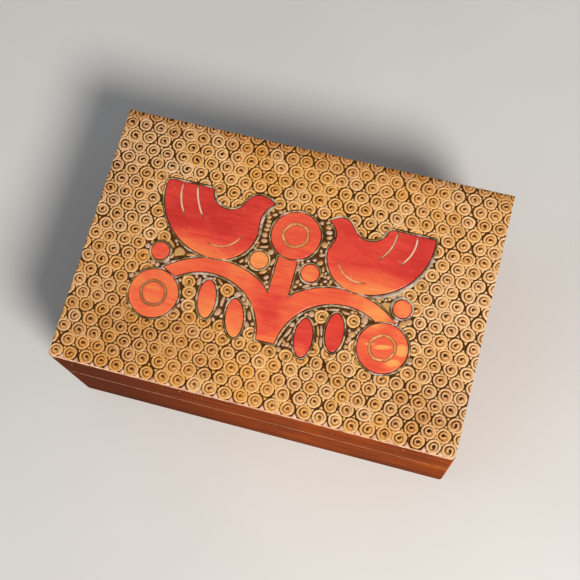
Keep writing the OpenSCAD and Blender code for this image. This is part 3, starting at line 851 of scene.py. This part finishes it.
def hinge_metal(name, bright, dull, rough):
    f = Finish(name, Metallic=1.0)
    patches = f.grime(160.0)["Patches"]
    f.set(Base_Color=f.mix(patches, bright, dull), Roughness=patches * 0.2 + rough)
    f.bump(f.noise(f.stretched(f.place, 1.0, 30.0, 30.0), 260.0, 3.0, 0.6), 0.02, 0.5)
    return f.material


def floor_finish():
    f = Finish("pale_floor", Roughness=0.7)
    soft = f.noise(f.place, 6.0, 3.0, 0.5)
    f.set(Base_Color=f.ramp(soft, (0.3, (0.60, 0.59, 0.57)), (0.7, (0.66, 0.65, 0.63))))
    return f.material


STAIN_X = stained_wood("stain_along_x", (1.0, 22.0, 22.0))
STAIN_Y = stained_wood("stain_along_y", (22.0, 1.0, 22.0))
AMBER = punched_amber()
GROUND = mottled("burnt_ground", 420.0, 0.6, [
    (0.30, (0.034, 0.010, 0.001)), (0.60, (0.105, 0.040, 0.008)), (0.80, (0.24, 0.105, 0.028))],
    0.1, 0.8, Roughness=0.6, Specular_IOR_Level=0.08)
EDGE = mottled("bare_edge", 500.0, 0.65, [
    (0.30, (0.42, 0.18, 0.085)), (0.48, (0.76, 0.43, 0.27)), (0.72, (0.88, 0.60, 0.43))],
    0.06, 0.6, Roughness=0.5, Specular_IOR_Level=0.2)
BEAD = bead_finish()
MOTIF = motif_stain()
LIP = scraped_lip("scraped_lip", (0.64, 0.46, 0.23), (0.60, 0.46, 0.38), (0.21, 0.145, 0.058),
                  (0.050, 0.025, 0.009), 230.0, 0.45)
# Cut lines; the last number is the share of painted shade on their upper walls
CUT = scraped_lip("wing_line", (0.88, 0.50, 0.33), (0.90, 0.52, 0.40), (0.74, 0.37, 0.23),
                  (0.20, 0.028, 0.014), 150.0, 0.38, 0.85)
BREAST_CUT = scraped_lip("breast_line", (0.92, 0.46, 0.22), (0.92, 0.48, 0.27), (0.84, 0.34, 0.13),
                         (0.24, 0.045, 0.016), 150.0, 0.50, 0.8)
RING_CUT = scraped_lip("ring_line", (0.88, 0.44, 0.17), (0.86, 0.42, 0.18), (0.74, 0.27, 0.09),
                       (0.19, 0.060, 0.020), 260.0, 0.50, 0.85)
DULL_RING_CUT = scraped_lip("dull_ring_line", (0.62, 0.30, 0.11), (0.66, 0.22, 0.08), (0.46, 0.15, 0.05),
                            (0.14, 0.062, 0.022), 260.0, 0.56, 0.9)
PLY = plywood()
BRASS = hinge_metal("hinge_brass", (0.72, 0.50, 0.20), (0.40, 0.25, 0.09), 0.28)
STEEL = hinge_metal("pin_steel", (0.58, 0.57, 0.55), (0.32, 0.30, 0.28), 0.3)


# Geometry Nodes: what repeats over the lid or follows an outline

def geometry_tree(name, *sizes):
    """A tree with a material and named sizes as its inputs."""
    inputs = {"Geometry": "Geometry", "Material": "Material"}
    inputs.update({size: "Float" for size in sizes})
    net, inp, out = new_tree(name, "GeometryNodeTree", inputs, {"Geometry": "Geometry"})
    return net, inp, out["Geometry"]


def apply_tree(obj, tree, values):
    """Runs a tree on an object and keeps the plain mesh that it makes."""
    modifier = obj.modifiers.new(tree.name, "NODES")
    modifier.node_group = tree
    for item in tree.interface.items_tree:
        if item.in_out == "INPUT" and item.name in values:
            modifier[item.identifier] = values[item.name]
    return settled(obj)


def named_value(g, name):
    return g.add("GeometryNodeInputNamedAttribute", {"Name": name}, data_type="FLOAT")


def moved(g, geometry, **inputs):
    return g.add("GeometryNodeSetPosition", {"Geometry": geometry, **inputs})


def jitter(g, scale, middle):
    """A noise at every point, as a vector about a middle."""
    here = g.add("GeometryNodeInputPosition")
    push = g.add("ShaderNodeTexNoise", {"Vector": here, "Scale": scale, "Detail": 1.0}, "Color")
    return g.vector("SUBTRACT", push, middle)


def swept(g, path, section, girth):
    """A closed solid along a curve, whose section is scaled by the girth."""
    return g.add("GeometryNodeCurveToMesh", {
        "Curve": path, "Profile Curve": section, "Scale": girth, "Fill Caps": True})


def finished(g, geometry, inp, out):
    """The end of a tree: smooth faces in the given material."""
    smooth = g.add("GeometryNodeSetShadeSmooth", {"Geometry": geometry})
    g.link(g.add("GeometryNodeSetMaterial", {"Geometry": smooth, "Material": inp["Material"]}), out)
    return g.tree


def swirl_path(g, inp):
    """A closed ring that then turns in to a curl, off to one side, as a curve in the plane."""
    line = g.add("GeometryNodeCurvePrimitiveLine")
    points = g.add("GeometryNodeResampleCurve", {"Curve": line, "Count": RING_SIDES + CURL_SIDES + 1})
    along = g.add("GeometryNodeSplineParameter", out="Factor")
    share = RING_SIDES / (RING_SIDES + CURL_SIDES)
    ring = g.math("MINIMUM", along, share) / share
    curl = g.math("MAXIMUM", along - share, 0.0) / (1 - share)
    turns = ring + curl
    angle = g.math("MULTIPLY_ADD", turns, 2 * math.pi, math.pi)
    reach = g.fade(turns, 0.92, 1.28, inp["Ring Radius"], inp["Curl Radius"])
    reach = reach * g.fade(turns, 1.5, 2.0, 1.0, 0.6)
    x = g.math("COSINE", angle) * reach - g.fade(turns, 0.92, 1.28, 0.0, inp["Curl Shift"])
    bent = moved(g, points, Position=g.combine(x, g.math("SINE", angle) * reach))
    upright = g.add("GeometryNodeSetCurveNormal", {"Curve": bent}, mode="Z_UP")
    return upright, g.fade(turns, 0.95, 1.4, 1.0, 0.86)


def flat_ridge(g, path, girth, inp):
    """A closed ridge along a curve, flat on top and wider at its foot, which starts below the ground."""
    sink = 0.1 * MM
    section = g.add("GeometryNodeCurvePrimitiveQuadrilateral", {
        "Bottom Width": inp["Crest Width"], "Top Width": inp["Ridge Width"],
        "Height": inp["Ridge Height"] + sink, "Offset": 0.0}, mode="TRAPEZOID")
    lift = g.combine(0.0, (sink - inp["Ridge Height"]) * 0.5)
    placed = g.add("GeometryNodeTransform", {"Geometry": section, "Translation": lift})
    return swept(g, path, placed, girth)


def pit_floor(g, inp):
    """The floor inside a ring, low at the middle of the curl and on the side where the punch went deep."""
    plug = g.add("GeometryNodeMeshCylinder", {
        "Vertices": 6, "Radius": inp["Ring Radius"], "Depth": 0.2 * MM}, fill_type="TRIANGLE_FAN")
    x, y, z = g.axes(g.add("GeometryNodeInputPosition"))
    out = g.math("SQRT", g.math("MULTIPLY_ADD", x, x, y * y)) / inp["Ring Radius"]
    rim = g.math("MULTIPLY_ADD", x / inp["Ring Radius"], -0.2, 0.5)
    offset = g.combine((out - 1.0) * inp["Curl Shift"], 0.0, out * rim * inp["Ridge Height"])
    return moved(g, plug, Selection=g.math("GREATER_THAN", z, 0.0), Offset=offset)


def scattered(g, inp, out, shape):
    """Copies of a shape on the points, each with its own turn, length and size, pushed about a little."""
    size = named_value(g, "size")
    copies = g.add("GeometryNodeInstanceOnPoints", {
        "Points": inp["Geometry"], "Instance": shape,
        "Rotation": g.combine(named_value(g, "lean"), 0.0, named_value(g, "turn")),
        "Scale": g.combine(size * named_value(g, "length"), size, 1.0)})
    solid = g.add("GeometryNodeRealizeInstances", {"Geometry": copies})
    level = (WOBBLE * MM, WOBBLE * MM, 0.0)
    push = g.vector("MULTIPLY", jitter(g, 380.0, (0.5, 0.5, 0.5)), level)
    return finished(g, moved(g, solid, Offset=push), inp, out)


def swirl_tree():
    g, inp, out = geometry_tree("punched_swirls", "Ring Radius", "Curl Radius", "Curl Shift",
                                "Ridge Width", "Crest Width", "Ridge Height")
    whole = g.node("GeometryNodeJoinGeometry")
    g.link(pit_floor(g, inp), whole.inputs["Geometry"])
    g.link(flat_ridge(g, *swirl_path(g, inp), inp), whole.inputs["Geometry"])
    return scattered(g, inp, out, Value(g, whole.outputs["Geometry"]))


def chip_tree():
    g, inp, out = geometry_tree("ground_chips", "Foot Radius", "Top Radius", "Height")
    chip = g.add("GeometryNodeMeshCone", {
        "Vertices": 3, "Radius Top": inp["Top Radius"], "Radius Bottom": inp["Foot Radius"],
        "Depth": inp["Height"]})
    return scattered(g, inp, out, chip)


def bead_tree():
    g, inp, out = geometry_tree("filler_beads", "Radius", "Height")
    ball = g.add("GeometryNodeMeshUVSphere", {"Segments": 8, "Rings": 6, "Radius": 1.0})
    low = g.combine(inp["Radius"], inp["Radius"], inp["Height"])
    return scattered(g, inp, out, g.add("GeometryNodeTransform", {"Geometry": ball, "Scale": low}))


def cord_tree():
    """An uneven tube of oval section along lines, flattened at a height: a lip, or a knife for cut lines."""
    g, inp, out = geometry_tree("lip_along_outline", "Width", "Height", "Step", "Unevenness", "Highest")
    path = g.add("GeometryNodeMeshToCurve", {"Mesh": inp["Geometry"]})
    even = g.add("GeometryNodeResampleCurve", {"Curve": path, "Length": inp["Step"]}, mode="LENGTH")
    upright = g.add("GeometryNodeSetCurveNormal", {"Curve": even}, mode="Z_UP")
    ring = g.add("GeometryNodeCurvePrimitiveCircle", {"Resolution": LIP_SIDES, "Radius": 1.0})
    half = g.combine(inp["Width"] * 0.5, inp["Height"], 1.0)
    oval = g.add("GeometryNodeTransform", {"Geometry": ring, "Scale": half})
    lip = swept(g, upright, oval, named_value(g, "girth"))
    push = g.add("ShaderNodeVectorMath", {
        0: jitter(g, 900.0, (0.5, 0.5, 0.55)), "Scale": inp["Unevenness"]}, operation="SCALE")
    uneven = moved(g, lip, Offset=push)
    x, y, z = g.axes(g.add("GeometryNodeInputPosition"))
    capped = moved(g, uneven, Position=g.combine(x, y, g.math("MINIMUM", z, inp["Highest"])))
    return finished(g, g.add("GeometryNodeRealizeInstances", {"Geometry": capped}), inp, out)


def points_object(name, places):
    """A mesh of bare points, each with its turn, lean, size, length and shades."""
    mesh = bpy.data.meshes.new(name)
    mesh.from_pydata([p["at"] for p in places], [], [])
    for key in ("turn", "lean", "size", "length", "tone", "shade", "worn"):
        values = mesh.attributes.new(key, "FLOAT", "POINT")
        values.data.foreach_set("value", [p[key] for p in places])
    return new_object(name, mesh)


def path_object(name, paths, z):
    """A mesh of open or closed lines: each path is (points in millimetres, closed, girth at each point)."""
    verts, edges, girths = [], [], []
    for points, closed, girth in paths:
        first = len(verts)
        verts += [(x * MM, y * MM, z) for x, y in points]
        edges += [(first + i, first + i + 1) for i in range(len(points) - 1)]
        girths += girth
        if closed:
            edges.append((len(verts) - 1, first))
    mesh = bpy.data.meshes.new(name)
    mesh.from_pydata(verts, edges, [])
    mesh.attributes.new("girth", "FLOAT", "POINT").data.foreach_set("value", girths)
    return new_object(name, mesh)


# Where the swirls, chips and beads lie

def swirl_grid():
    """Staggered rows over the whole lid, in millimetres, by row and column, before the hand's slips."""
    grid = {}
    rows = int((2 * LID_Y - FIRST_ROW) / SWIRL_ROW) + 2
    columns = int(2 * LID_X / SWIRL_STEP) + 3
    for row in range(rows):
        for column in range(columns):
            x = -LID_X + FIRST_COLUMN + (column - 1 + 0.5 * (row % 2)) * SWIRL_STEP
            grid[row, column] = (x, -LID_Y + FIRST_ROW + row * SWIRL_ROW)
    return grid


def spot(x, y, turn, size, tone, length=1.0, lean=0.0):
    """One place for a swirl, chip or bead, with its tone, painted shade and wear there."""
    tone = tone + area_sum(x, y, TONE_AREAS)
    # Painted shade: the back rows darken towards the back edge, and the shade areas darken whole regions.
    back = BACK_SHADE * max(0.0, (y - BACK_SHADE_Y) / (LID_Y - BACK_SHADE_Y))
    return {"at": (x * MM, y * MM, GROUND_Z), "turn": turn, "lean": lean, "size": size, "length": length,
            "tone": max(0.0, min(1.0, tone)), "shade": min(1.0, back + area_sum(x, y, SHADE_AREAS)),
            "worn": min(1.0, area_sum(x, y, WORN_AREAS))}


def swirl_points(grid):
    """The swirls left whole, and those that the carved shapes cut into; others leave the grid."""
    rng = random.Random(SWIRL_SEED + 1)
    whole, cut = [], []
    for key, (x, y) in list(grid.items()) + [(None, p) for p in PLACED_SWIRLS]:
        slip_x, slip_y = rng.uniform(-SLIP_X, SLIP_X), rng.uniform(-SLIP_Y, SLIP_Y)
        turn = math.radians(DEEP_SIDE + rng.gauss(0, TURN_SPREAD))
        size, tone = rng.uniform(0.94, 1.05), rng.betavariate(1.4, 2.0)
        length, lean = rng.uniform(0.93, 1.06), math.radians(rng.uniform(-1.4, 1.4))
        if abs(x) > LID_X + PAST_EDGE or abs(y) > LID_Y + PAST_EDGE:
            grid.pop(key, None)
            continue
        near = clearances(x, y)
        crowded = key and min(math.dist((x, y), p) for p in PLACED_SWIRLS) < SINGLE_ROOM
        beaded = key and any(abs(x - a) < w and abs(y - b) < d for a, b, w, d in BEAD_ROOMS)
        if crowded or beaded or near[0] <= 0 or near[0] + near[1] <= NARROW_GAP:
            grid.pop(key, None)
            continue
        x, y = x + slip_x, y + slip_y
        if key:
            grid[key] = (x, y)
        place = spot(x, y, turn, size, tone, length, lean)
        place["shade"] = min(1.0, place["shade"] + 0.35 * rng.betavariate(1.0, 3.0))
        free = clearances(x, y)[0] > SWIRL_R * 1.1 + LIP_REACH
        (whole if free else cut).append(place)
    return whole, cut


def chip_points(grid):
    """The small triangles of wood left between three neighbouring swirls, and those along the front edge."""
    rng = random.Random(SWIRL_SEED + 2)
    places, front = [], []
    for (row, column), a in grid.items():
        b = grid.get((row, column + 1))
        for up in (1, -1):
            c = grid.get((row + up, column + row % 2))
            if not b or not c:
                continue
            x = (a[0] + b[0] + c[0]) / 3
            y = (a[1] + b[1] + c[1]) / 3
            turn = math.radians(-90 * up + rng.uniform(-12, 12))
            place = spot(x, y, turn, rng.uniform(0.85, 1.1), rng.random())
            inside = abs(x) < LID_X - CHIP_ROOM and abs(y) < LID_Y - CHIP_ROOM
            if inside and clearances(x, y)[0] > LIP_REACH + CHIP_ROOM:
                places.append(place)
        if row == 0 and b and abs(a[0] + b[0]) / 2 < LID_X - FRONT_CHIP_ROOM:
            x, y = (a[0] + b[0]) / 2, -LID_Y + FRONT_CHIP_IN
            front.append(spot(x, y, math.radians(90), rng.uniform(1.5, 1.9), 1.0))
    return places, front


def bead_points(swirls):
    """Small beads and bars in the narrow gaps, and wherever else the swirls leave the ground bare."""
    rng = random.Random(SWIRL_SEED + 3)
    punched = KDTree(len(swirls))
    for i, place in enumerate(swirls):
        punched.insert((place["at"][0] / MM, place["at"][1] / MM, 0), i)
    punched.balance()
    places, taken = [], []
    for x, y, heading, long, wide in BEADS:
        if punched.find((x, y, 0))[2] > SWIRL_R + 0.25 * wide:
            turn = math.radians(heading)
            places.append(spot(x, y, turn, wide / 2 / BEAD_R, 0.0, long / wide))
            for along in (-0.34 * long, 0.0, 0.34 * long):
                room = wide / 2 + BEAD_APART
                taken.append((x + along * math.cos(turn), y + along * math.sin(turn), room))
    taken += [(x, y, BEAD_R) for pad in PADS for x, y in pad]
    gaps = []
    for i in GAP_COLUMNS:
        for j in GAP_ROWS:
            x, y = i * GAP_STEP, j * GAP_STEP
            free = punched.find((x, y, 0))[2] - SWIRL_R
            if free > BEAD_LEAST:
                room = min(free, clearances(x, y)[0] - LIP_REACH + 0.15)
                if room > BEAD_LEAST:
                    gaps.append((room, x, y))
    for room, x, y in sorted(gaps, reverse=True):
        free = min(math.hypot(x - a, y - b) - r for a, b, r in taken)
        size = min(room, free, BEAD_MOST)
        if size > BEAD_LEAST:
            taken.append((x, y, size))
            turn = rng.uniform(0, math.pi)
            places.append(spot(x, y, turn, size * 1.18 / BEAD_R, 0.0, rng.uniform(0.85, 1.4)))
    for place in places:
        place["tone"] = rng.betavariate(1.2, 1.8)
    for x, y, r, start, stop in DOTTED_SEAMS:
        dots = arc(x, y, r, start, stop, int(math.radians(stop - start) * r / SEAM_STEP))
        places += [spot(a, b, 0.0, rng.uniform(0.7, 1.1) * SEAM_DOT / BEAD_R, 0.9) for a, b in dots]
    return places


# The carved lid, whose board has the stain, the ground and the bare rim as its materials

GROUND_SLOT = 1
RIM_SLOT = 2


def clip_to_board(obj):
    """Cuts a mesh off at the four edges of the lid and closes the cuts."""
    sides = [(axis, half, side) for axis, half in ((0, HALF_W), (1, HALF_D)) for side in (-1, 1)]
    with edited(obj) as bm:
        for axis, half, side in sides:
            place, normal = Vector((0, 0, 0)), Vector((0, 0, 0))
            place[axis] = side * (half - EDGE_GAP * MM)
            normal[axis] = side
            whole = bm.verts[:] + bm.edges[:] + bm.faces[:]
            cut = bmesh.ops.bisect_plane(bm, geom=whole, plane_co=place, plane_no=normal, clear_outer=True)
            rim = [e for e in cut["geom_cut"] if isinstance(e, bmesh.types.BMEdge)]
            bmesh.ops.holes_fill(bm, edges=rim, sides=0)


def drop_slivers(obj):
    """Removes what cuts leave behind: faces without area, and pairs of faces folded on each other."""
    with edited(obj) as bm:
        bmesh.ops.dissolve_degenerate(bm, dist=SLIVER, edges=bm.edges)
        bmesh.ops.triangulate(bm, faces=bm.faces[:])
        bmesh.ops.dissolve_degenerate(bm, dist=SLIVER, edges=bm.edges)
        alike = {}
        for face in bm.faces:
            alike.setdefault(frozenset(face.verts), []).append(face)
        folded = [face for faces in alike.values() if len(faces) == 2 for face in faces]
        bmesh.ops.delete(bm, geom=folded, context="FACES")


def carved_board():
    """The top board: stained sides and underside, burnt ground on top and a bare rim along the front."""
    bm = bmesh.new()
    w, d = LID_X - CORNER_R, LID_Y - CORNER_R
    loop = []
    for x, y, start in ((w, d, 0), (-w, d, 90), (-w, -d, 180), (w, -d, 270)):
        loop += arc(x, y, CORNER_R, start, start + 90, 5)
    stack_loops(bm, tidy_loop(loop), [(0, BOARD_Z), (0, GROUND_Z - 0.1 * MM), (-0.1, GROUND_Z)])
    front, back = EDGE_GAP - LID_Y, RIM_W - LID_Y
    stack_loops(bm, tidy_loop([(-w, front), (w, front), (w, back), (-w, back)]), [
        (0, GROUND_Z - 0.3 * MM), (0, TOP_Z - 0.32 * MM), (-0.15, TOP_Z - 0.14 * MM)])
    for face in bm.faces:
        middle = face.calc_center_median()
        if middle.z > GROUND_Z - 0.2 * MM:
            face.material_index = RIM_SLOT if middle.y < 0.6 * MM - HALF_D else GROUND_SLOT
    return bmesh_object("carved_board", bm, STAIN_X, GROUND, EDGE)


def island_levels():
    return [(0, BURIED_Z), (0, TOP_Z - 0.3 * MM), (-0.1, TOP_Z - 0.1 * MM), (-0.3, TOP_Z)]


def flower_levels():
    """The same edge, and further in the round cut line."""
    ring = FLOWER_RING_R - FLOWER_R
    half = FLOWER_RING_W / 2
    floor = TOP_Z - FLOWER_RING_DEEP * MM
    down = [(ring + half, TOP_Z), (ring + 0.5 * half, floor)]
    return island_levels() + down + [(ring - 0.5 * half, floor), (ring - half, TOP_Z)]


def carved_flowers(slots):
    """The three flowers, each with a hand-cut ring line whose faces take the given material slot."""
    flowers = solid_from_loops("flowers", FLOWER_LOOPS, flower_levels(), MOTIF)
    reach = (FLOWER_RING_R + FLOWER_RING_W) * MM
    for (x, y), slot in zip(FLOWERS, slots):
        middle = Vector((x * MM, y * MM))
        for v in flowers.data.vertices:
            out = v.co.xy - middle
            if out.length < reach:
                angle = math.atan2(out.y, out.x)
                slip = 0.13 * math.sin(2 * angle + x) + 0.09 * math.sin(5 * angle + y)
                v.co.xy += out.normalized() * slip * MM
        for face in flowers.data.polygons:
            near = (face.center.xy - middle).length < reach
            if near and BURIED_Z + 0.01 * MM < face.center.z < TOP_Z - 0.01 * MM:
                face.material_index = slot
    return flowers


def solid_from_loops(name, loops, levels, material):
    bm = bmesh.new()
    for loop in loops:
        stack_loops(bm, loop, levels)
    return bmesh_object(name, bm, material)


def cut_away(obj, cutter):
    """Subtracts one closed mesh from another; the cut faces keep the cutter's material."""
    modifier = obj.modifiers.new("cut", "BOOLEAN")
    modifier.operation = "DIFFERENCE"
    modifier.solver = "EXACT"
    modifier.material_mode = "TRANSFER"
    modifier.use_self = True
    modifier.object = cutter
    settled(obj)
    bpy.data.objects.remove(cutter)


def join_mesh(obj, other):
    """Adds another object's mesh to an object, and removes the other object."""
    with edited(obj) as bm:
        bm.from_mesh(other.data)
    bpy.data.objects.remove(other)


def use_slot(obj, slot):
    """Gives all faces of a mesh one material slot, that of the mesh they are to join."""
    obj.data.polygons.foreach_set("material_index", [slot] * len(obj.data.polygons))


def line_paths():
    """The thin lines cut in the wings and in the breasts, which taper at their ends."""
    wings, breasts = [], []
    for bird in BIRDS:
        for x, y, r, stop in bird["wing_lines"]:
            start = math.degrees(math.asin((WING_Y + 0.5 - y) / r))
            wings.append([(bird["side"] * a, b) for a, b in arc(x, y, r, start, stop, LINE_STEPS)])
        r, start, stop = bird["breast_line"]
        line = arc(BELLY[0], BELLY[1] + BREAST_R, r, start, stop, LINE_STEPS)
        breasts.append([(bird["side"] * a, b) for a, b in line])
    taper = [min(1.0, 0.55 + 0.2 * min(i, LINE_STEPS - i)) for i in range(LINE_STEPS + 1)]
    return [[(line, False, taper) for line in lines] for lines in (wings, breasts)]


def lip_path(loop):
    """The lip round one shape, broad in places and uneven elsewhere."""
    loop = spaced(loop, 1.0)
    extra = [area_sum(x, y, BROAD_LIPS) for x, y in loop]
    margins = [LIP_OUT + 0.42 * LIP_W * more for more in extra]
    waver = [0.2 * math.sin(x * 0.9 + y * 0.5) + 0.2 * math.sin(1.7 * y - 0.6 * x) for x, y in loop]
    return grown(loop, margins), True, [max(0.35, 1.0 + more + wave) for more, wave in zip(extra, waver)]


def warmth_at(x, y):
    """How far the stain runs from deep red to orange, from the place on the motif."""
    if min(distance_to_loop(x, y, loop) for loop in BIRD_LOOPS) < 0.1:
        return ON_BIRD
    for middle, reach, warmth in WARM_SHAPES:
        if math.dist((x, y), middle) < reach:
            return warmth
    for (leaf_x, leaf_y, _), (left, right) in zip(LEAVES, LEAF_SPANS):
        if left <= x < right and math.dist((x, y), (leaf_x, leaf_y)) < LEAF_L / 2 + 0.5:
            down = (leaf_y + LEAF_L / 2 - y) / LEAF_L
            return RIGHT_LEAF_WARMTH if x > 0 else 0.45 + 0.5 * down
    return WARMTH


def raised_motif():
    """The flat-topped shapes of the motif, with channels between them and lines cut in them."""
    levels = island_levels()
    deep = [(0, BURIED_Z - 0.2 * MM), (0, TOP_Z + 0.5 * MM)]
    boughs = solid_from_loops("boughs", [TREE], levels, MOTIF)
    around = [grown(loop, CHANNEL_W) for loop in BIRD_LOOPS + FLOWER_LOOPS]
    cut_away(boughs, solid_from_loops("around", around, deep, MOTIF))
    motif = solid_from_loops("raised_motif", BIRD_LOOPS + DOT_LOOPS + LEAF_LOOPS, levels, MOTIF)
    wings, breasts = line_paths()
    for paths, wide, finish in ((wings, WING_LINE_W, CUT), (breasts, BREAST_LINE_W, BREAST_CUT)):
        knife = apply_tree(path_object("knife", paths, TOP_Z + 0.04 * MM), CORD_TREE, {
            "Width": wide * MM, "Height": LINE_DEEP * MM, "Step": 1.0 * MM, "Unevenness": 0.0,
            "Highest": TOP_Z + MM, "Material": finish})
        cut_away(motif, knife)
    join_mesh(motif, boughs)
    slot = len(motif.data.materials)
    motif.data.materials.append(RING_CUT)
    motif.data.materials.append(DULL_RING_CUT)
    join_mesh(motif, carved_flowers([slot, slot + 1, slot]))
    warmth = motif.data.attributes.new("warmth", "FLOAT", "POINT")
    warmth.data.foreach_set("value", [warmth_at(v.co.x / MM, v.co.y / MM) for v in motif.data.vertices])
    return motif


def punched_swirls(grid):
    tree = swirl_tree()
    sizes = {"Ring Radius": RING_MIDDLE_R * MM, "Curl Radius": CURL_R * MM, "Curl Shift": CURL_SHIFT * MM,
             "Ridge Width": RIDGE_W * MM, "Crest Width": RIDGE_TOP_W * MM,
             "Ridge Height": SWIRL_TOP_Z - GROUND_Z, "Material": AMBER}
    whole, cut = swirl_points(grid)
    swirls = apply_tree(points_object("punched_swirls", whole), tree, sizes)
    beside = apply_tree(points_object("beside_motif", cut), tree, sizes)
    deep = [(LIP_REACH, BURIED_Z - MM), (LIP_REACH, TOP_Z + MM)]
    cut_away(beside, solid_from_loops("motif_room", ALL_LOOPS, deep, AMBER))
    join_mesh(swirls, beside)
    clip_to_board(swirls)
    drop_slivers(swirls)
    return swirls, whole + cut


def carve_lid():
    board = carved_board()
    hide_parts("lid_top_panel")
    grid = swirl_grid()
    swirls, swirl_places = punched_swirls(grid)
    between, front = chip_points(grid)
    chip = chip_tree()
    chips = apply_tree(points_object("ground_chips", between), chip, {
        "Foot Radius": CHIP_FOOT_R * MM, "Top Radius": CHIP_TOP_R * MM, "Height": CHIP_HIGH * MM,
        "Material": AMBER})
    rim = apply_tree(points_object("front_chips", front), chip, {
        "Foot Radius": CHIP_FOOT_R * MM, "Top Radius": FRONT_CHIP_TOP_R * MM,
        "Height": FRONT_CHIP_HIGH * MM, "Material": EDGE})
    clip_to_board(rim)
    use_slot(rim, RIM_SLOT)
    join_mesh(board, rim)
    beads = apply_tree(points_object("filler_beads", bead_points(swirl_places)), bead_tree(), {
        "Radius": BEAD_R * MM, "Height": BEAD_HIGH * MM, "Material": BEAD})
    low = [(0, BURIED_Z), (0, GROUND_Z + 0.3 * MM), (-0.25, GROUND_Z + 0.48 * MM)]
    pads = solid_from_loops("wedge_pads", [tidy_loop(pad) for pad in PADS], low, BEAD)
    use_slot(pads, beads.data.materials.find(BEAD.name))
    join_mesh(beads, pads)
    lips = [lip_path(loop) for loop in ALL_LOOPS]
    lip = apply_tree(path_object("outline_lips", lips, GROUND_Z), CORD_TREE, {
        "Width": LIP_W * MM, "Height": LIP_HIGH * MM, "Step": LIP_STEP * MM, "Unevenness": 0.5 * MM,
        "Highest": TOP_Z - 0.1 * MM, "Material": LIP})
    for piece in (board, swirls, chips, beads, lip, raised_motif()):
        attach(piece, "lid")


CORD_TREE = cord_tree()
carve_lid()


# Finishes of the carried-over pieces

WELD_GAP = 0.001 * MM
EASED_ANGLE = math.radians(35)


def soften(obj, width):
    """Merges a CAD node's triangles and eases its edges, as modifiers."""
    weld = obj.modifiers.new("weld", "WELD")
    weld.merge_threshold = WELD_GAP
    bevel = obj.modifiers.new("ease", "BEVEL")
    bevel.width = width
    bevel.segments = 2
    bevel.limit_method = "ANGLE"
    bevel.angle_limit = EASED_ANGLE
    bevel.harden_normals = True


# Material, width of the eased edges in millimetres, and nodes
NODE_FINISHES = [
    (STAIN_X, 0.12, ["body_front_wall", "body_back_wall", "lid_front_rail", "lid_back_rail"]),
    (STAIN_Y, 0.12, ["body_left_wall", "body_right_wall", "lid_left_rail", "lid_right_rail"]),
    (PLY, 0.15, ["bottom_panel"]),
    (BRASS, 0.06, ["left_hinge_body_leaf", "left_hinge_lid_leaf",
                   "right_hinge_body_leaf", "right_hinge_lid_leaf"]),
    (STEEL, 0.1, ["left_hinge_pin", "right_hinge_pin"]),
    (BRASS, 0.04, ["body_hinge_screws", "lid_hinge_screws"]),
]
for material, ease, names in NODE_FINISHES:
    for name in names:
        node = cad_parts[name]
        node.data.materials.clear()
        node.data.materials.append(material)
        soften(node, ease * MM)


# Floor, light and camera, which stands as the photograph's did by a fit to the corners of the box

LIGHT_AIM = (0, 0, 0.04)
CAMERA_LENS = 66.76
CAMERA_PLACE = Vector((57.34, -113.31, 461.86)) * MM
CAMERA_AHEAD = Vector((-0.12764, 0.25913, -0.95737)).normalized()
CAMERA_RIGHT = Vector((0.96355, 0.26121, -0.05777))


def make_floor():
    bm = bmesh.new()
    bmesh.ops.create_grid(bm, x_segments=1, y_segments=1, size=3.0)
    floor = bmesh_object("floor", bm, floor_finish())


def area_light(name, place, size, power, color):
    data = bpy.data.lights.new(name, "AREA")
    data.shape = "DISK"
    data.size = size
    data.energy = power
    data.color = color
    lamp = new_object(name, data)
    lamp.location = place
    lamp.rotation_euler = (Vector(LIGHT_AIM) - Vector(place)).to_track_quat("-Z", "Y").to_euler()


def make_world():
    world = bpy.data.worlds.new("studio")
    bpy.context.scene.world = world
    world.use_nodes = True
    sky = world.node_tree.nodes["Background"]
    sky.inputs["Color"].default_value = (0.92, 0.95, 1.0, 1.0)
    sky.inputs["Strength"].default_value = 0.22


def make_camera():
    data = bpy.data.cameras.new("camera")
    data.sensor_width = 36.0
    data.lens = CAMERA_LENS
    data.clip_start = 0.01
    camera = new_object("camera", data)
    up = CAMERA_RIGHT.cross(CAMERA_AHEAD).normalized()
    right = CAMERA_AHEAD.cross(up)
    turn = Matrix((right, up, -CAMERA_AHEAD)).transposed()
    camera.matrix_world = Matrix.Translation(CAMERA_PLACE) @ turn.to_4x4()
    bpy.context.scene.camera = camera


make_floor()
make_world()
area_light("key", (0.55, -0.50, 0.85), size=0.35, power=13.5, color=(1.0, 0.96, 0.90))
area_light("fill", (-0.7, -0.2, 0.8), size=0.9, power=1.5, color=(0.90, 0.95, 1.0))
make_camera()
bpy.context.scene.view_settings.view_transform = "Standard"
